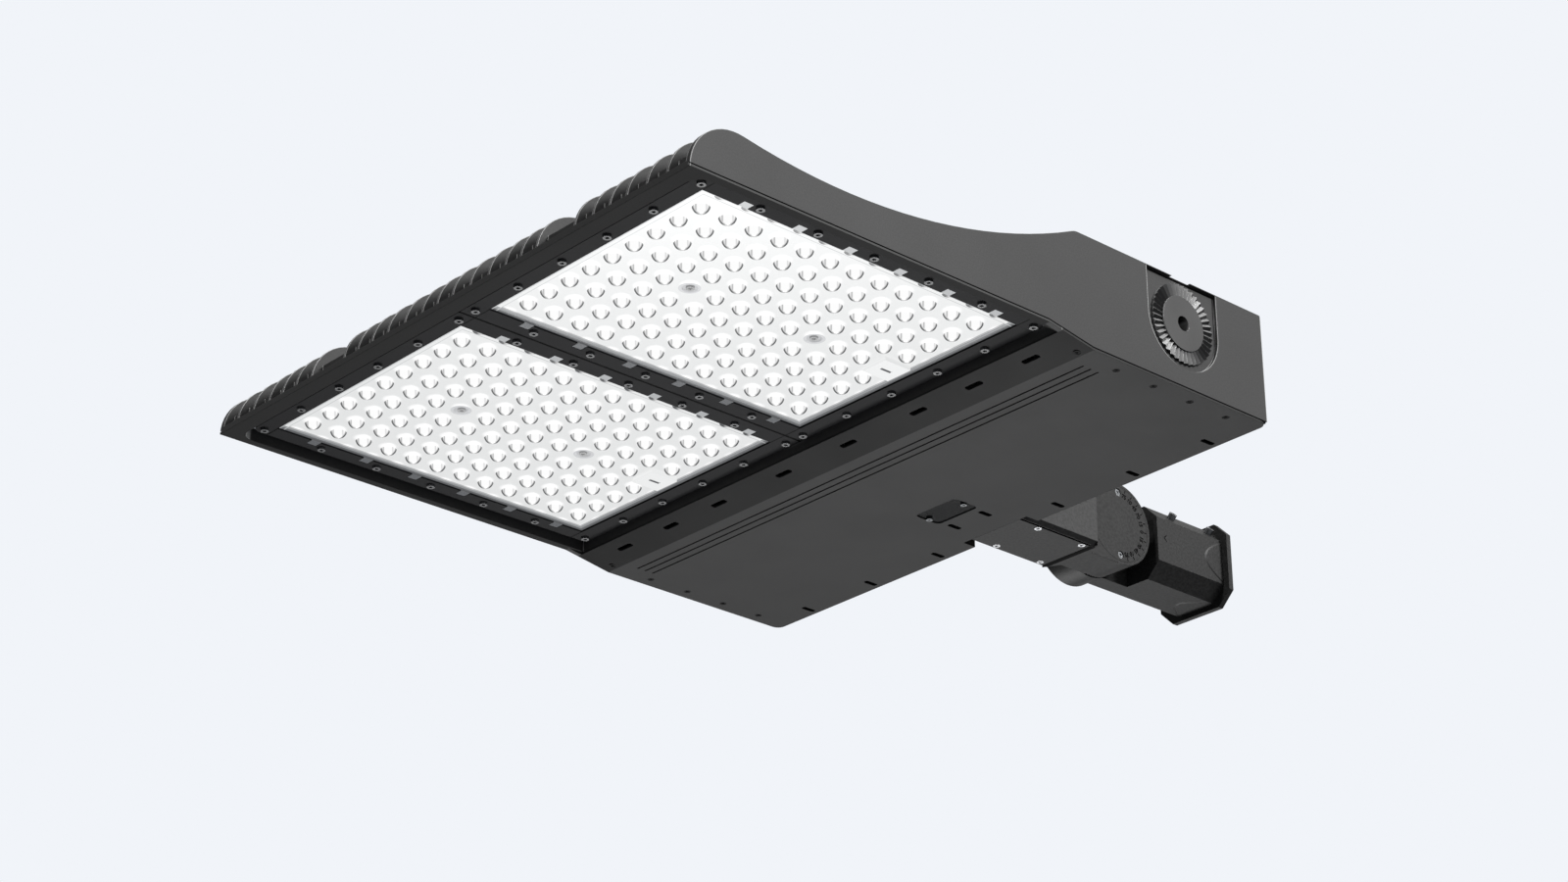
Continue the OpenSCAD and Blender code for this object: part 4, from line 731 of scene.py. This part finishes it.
# %% Dress the CAD pieces
finishes = {
    casting_coat: ["housing"],
    knuckle_coat: ["slip_fitter", "arm", "dial_plate", "arm_cover"],
    tooth_coat: [s + "_yoke_hub" for s in SIDES],
    sheet_coat: ["driver_cover"],
    rail_coat: [s + r for s in SIDES for r in ("_outer_rail", "_inner_rail", "_nose_rail", "_rear_rail")],
    zinc: ["pivot_bolt", "pivot_washer", "pivot_nut", "arm_bolts", "driver_screws", "arm_cover_screws"],
    nickel: ["dial_screws", "window_screws"],
    lit_nylon: [s + "_board_screws" for s in SIDES],
    zinc_flake: [s + "_rail_screws" for s in SIDES],
    stainless: ["front_set_screw", "rear_set_screw"],
    black_oxide: ["driver_cover_screws"],
    lens_plastic["left"]: ["left_lens_sheet"],
    lens_plastic["right"]: ["right_lens_sheet"],
    silicone: [s + "_lens_gasket" for s in SIDES],
    neoprene: ["arm_gasket"],
    solder_mask: [s + "_board" for s in SIDES],
    phosphor: [s + "_chips" for s in SIDES],
    bare_aluminium: [s + "_driver" for s in SIDES],
    white_nylon: ["surge_protector", "terminal_block", "power_slider", "colour_slider"],
    black_nylon: ["switch_tray"],
    red_abs: ["power_switch", "colour_switch"],
    green_zinc: ["earth_screw"],
    smoked: ["switch_window"],
}
for material, names in finishes.items():
    for name in names:
        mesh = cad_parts[name].data
        mesh.materials.clear()
        mesh.materials.append(material)
        for polygon in mesh.polygons:
            polygon.material_index = 0
dressed = {name for names in finishes.values() for name in names}
print("dressed:", len(dressed), "left bare:", sorted(set(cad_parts) - dressed))

# %% [markdown]
# Some castings carry a second finish on a few faces: painted shade on the rim's underside and on the cover's
# slope, painted light on the long flat side of the arm, and painted shadow in black along the seam between
# the arm and its cover. The small pointer pressed into the fitter takes the same black, so that it can be
# read. Splitting the pieces would change the construction, so the faces are picked instead, by where they
# lie and which way they look.

# %% Second coats
ARM_LOW_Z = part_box("arm")[0].z
ARM_SIDE_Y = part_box("arm")[1].y
POINTER_X, POINTER_Z = 91 * MM, 2.7 * MM
POINTER_REACH = 5.5 * MM
POINTER_DEPTH = (-1 * MM, -0.05 * MM)
FITTER_FLAT_Y = 38.3 * MM


def second_coat(node, material, takes):
    """Gives one CAD piece one more material, on the faces for which takes(polygon) is true."""
    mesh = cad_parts[node].data
    mesh.materials.append(material)
    faces = [polygon for polygon in mesh.polygons if takes(polygon)]
    for polygon in faces:
        polygon.material_index = len(mesh.materials) - 1
    print("second coat:", node, material.name, "on", len(faces), "of", len(mesh.polygons))


def in_pointer(face):
    """True for the faces of the pressed pointer, a hollow in the fitter's flat side."""
    deep = POINTER_DEPTH[0] < face.center.y - FITTER_FLAT_Y < POINTER_DEPTH[1]
    beside = abs(face.center.x - POINTER_X) < POINTER_REACH
    return deep and beside and abs(face.center.z - POINTER_Z) < POINTER_REACH


# Painted shade on the rim's underside
second_coat("housing", shaded_rim_coat, lambda face: face.normal.z < -0.99 and face.center.z < sheet_z)
# Painted shade on the cover's slope
second_coat("driver_cover", shaded_slope_coat, lambda face: face.normal.x > 0.1 and face.normal.z < -0.5)
# Painted light: the arm's long flat side takes the lighter copy of its coat
second_coat("arm", lit_flat_coat, lambda face: face.normal.y > 0.9 and face.center.y > ARM_SIDE_Y - 1 * MM)
# Painted shadow on the arm's lowest faces, along the seam round its cover
second_coat("arm", seam_shade_and_pointer_black, lambda face: face.normal.z < -0.99 and face.center.z < ARM_LOW_Z + 0.1 * MM)
second_coat("slip_fitter", seam_shade_and_pointer_black, in_pointer)
# Painted shadow on the cover's edges
second_coat("arm_cover", seam_shade_and_pointer_black, lambda face: abs(face.normal.z) < 0.5)

# %% [markdown]
# The dial is read against the pointer on the fitter. Its numbers are degrees, printed along the rear edge,
# and turn with the arm, so they ride on the head. Numbers could be a picture on the plate, but cut from
# Blender's own plain font they stay sharp at any distance. They lie a hair above the plate, turned to face
# outward.

# %% Dial numbers
DIGIT_H = 4.4 * MM
FONT_SIZE = DIGIT_H * 1.4
DIGIT_BOLD = 0.22 * MM
DIGIT_R = 31 * MM
INK_T = 0.15 * MM
MARKS = {str(abs(degrees)) + ("m" if degrees < 0 else ""): degrees for degrees in range(-75, 76, 15)}
dial_low, dial_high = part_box("dial_plate")
dial_x = (dial_low.x + dial_high.x) / 2
dial_z = (dial_low.z + dial_high.z) / 2


def print_on_dial(data, radius, turn_deg):
    """Lays one inked shape on the dial, its top outward, turn_deg round from the rear."""
    made = bpy.data.objects.new(data.name, data)
    bpy.context.scene.collection.objects.link(made)
    turn = math.radians(turn_deg)
    made.location = (dial_x - radius * math.cos(turn), dial_high.y + INK_T / 2,
                     dial_z + radius * math.sin(turn))
    made.rotation_mode = "QUATERNION"
    outward = Quaternion((0, 1, 0), turn - math.pi / 2)
    facing = Quaternion((0, 0, 1), math.pi) @ Quaternion((1, 0, 0), math.pi / 2)
    made.rotation_quaternion = outward @ facing
    data.materials.append(ink)
    bpy.context.view_layer.update()
    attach(made, "head")


def number(name, turn_deg):
    """Prints the degrees that name starts with."""
    curve = bpy.data.curves.new("dial_number_" + name, "FONT")
    curve.body = name.strip("m")
    curve.size = FONT_SIZE
    curve.offset = DIGIT_BOLD
    curve.align_x = "CENTER"
    curve.align_y = "CENTER"
    curve.extrude = INK_T / 2
    print_on_dial(curve, DIGIT_R, turn_deg)


for name, degrees in MARKS.items():
    number(name, degrees)
print("dial numbers:", list(MARKS))

# %% [markdown]
# A tick is engraved in the plate at every number, and filled with the same ink. The engraving is in the
# frame, so only the ink is added: a flat bar a hair above each groove, made from eight corners and six
# faces.

# %% Dial ticks
TICK_R = 36.2 * MM
TICK_LEN = 3.2 * MM
TICK_W = 0.9 * MM
BAR_FACES = [(0, 2, 3, 1), (4, 5, 7, 6), (0, 1, 5, 4), (2, 6, 7, 3), (0, 4, 6, 2), (1, 3, 7, 5)]


def tick(name, turn_deg):
    """Lays one inked bar over its groove."""
    mesh = bpy.data.meshes.new("dial_tick_" + name)
    corners = [(x * TICK_W / 2, y * TICK_LEN / 2, z * INK_T / 2)
               for z in (-1, 1) for y in (-1, 1) for x in (-1, 1)]
    mesh.from_pydata(corners, [], BAR_FACES)
    print_on_dial(mesh, TICK_R, turn_deg)


for name, degrees in MARKS.items():
    tick(name, degrees)
print("dial ticks:", len(MARKS))
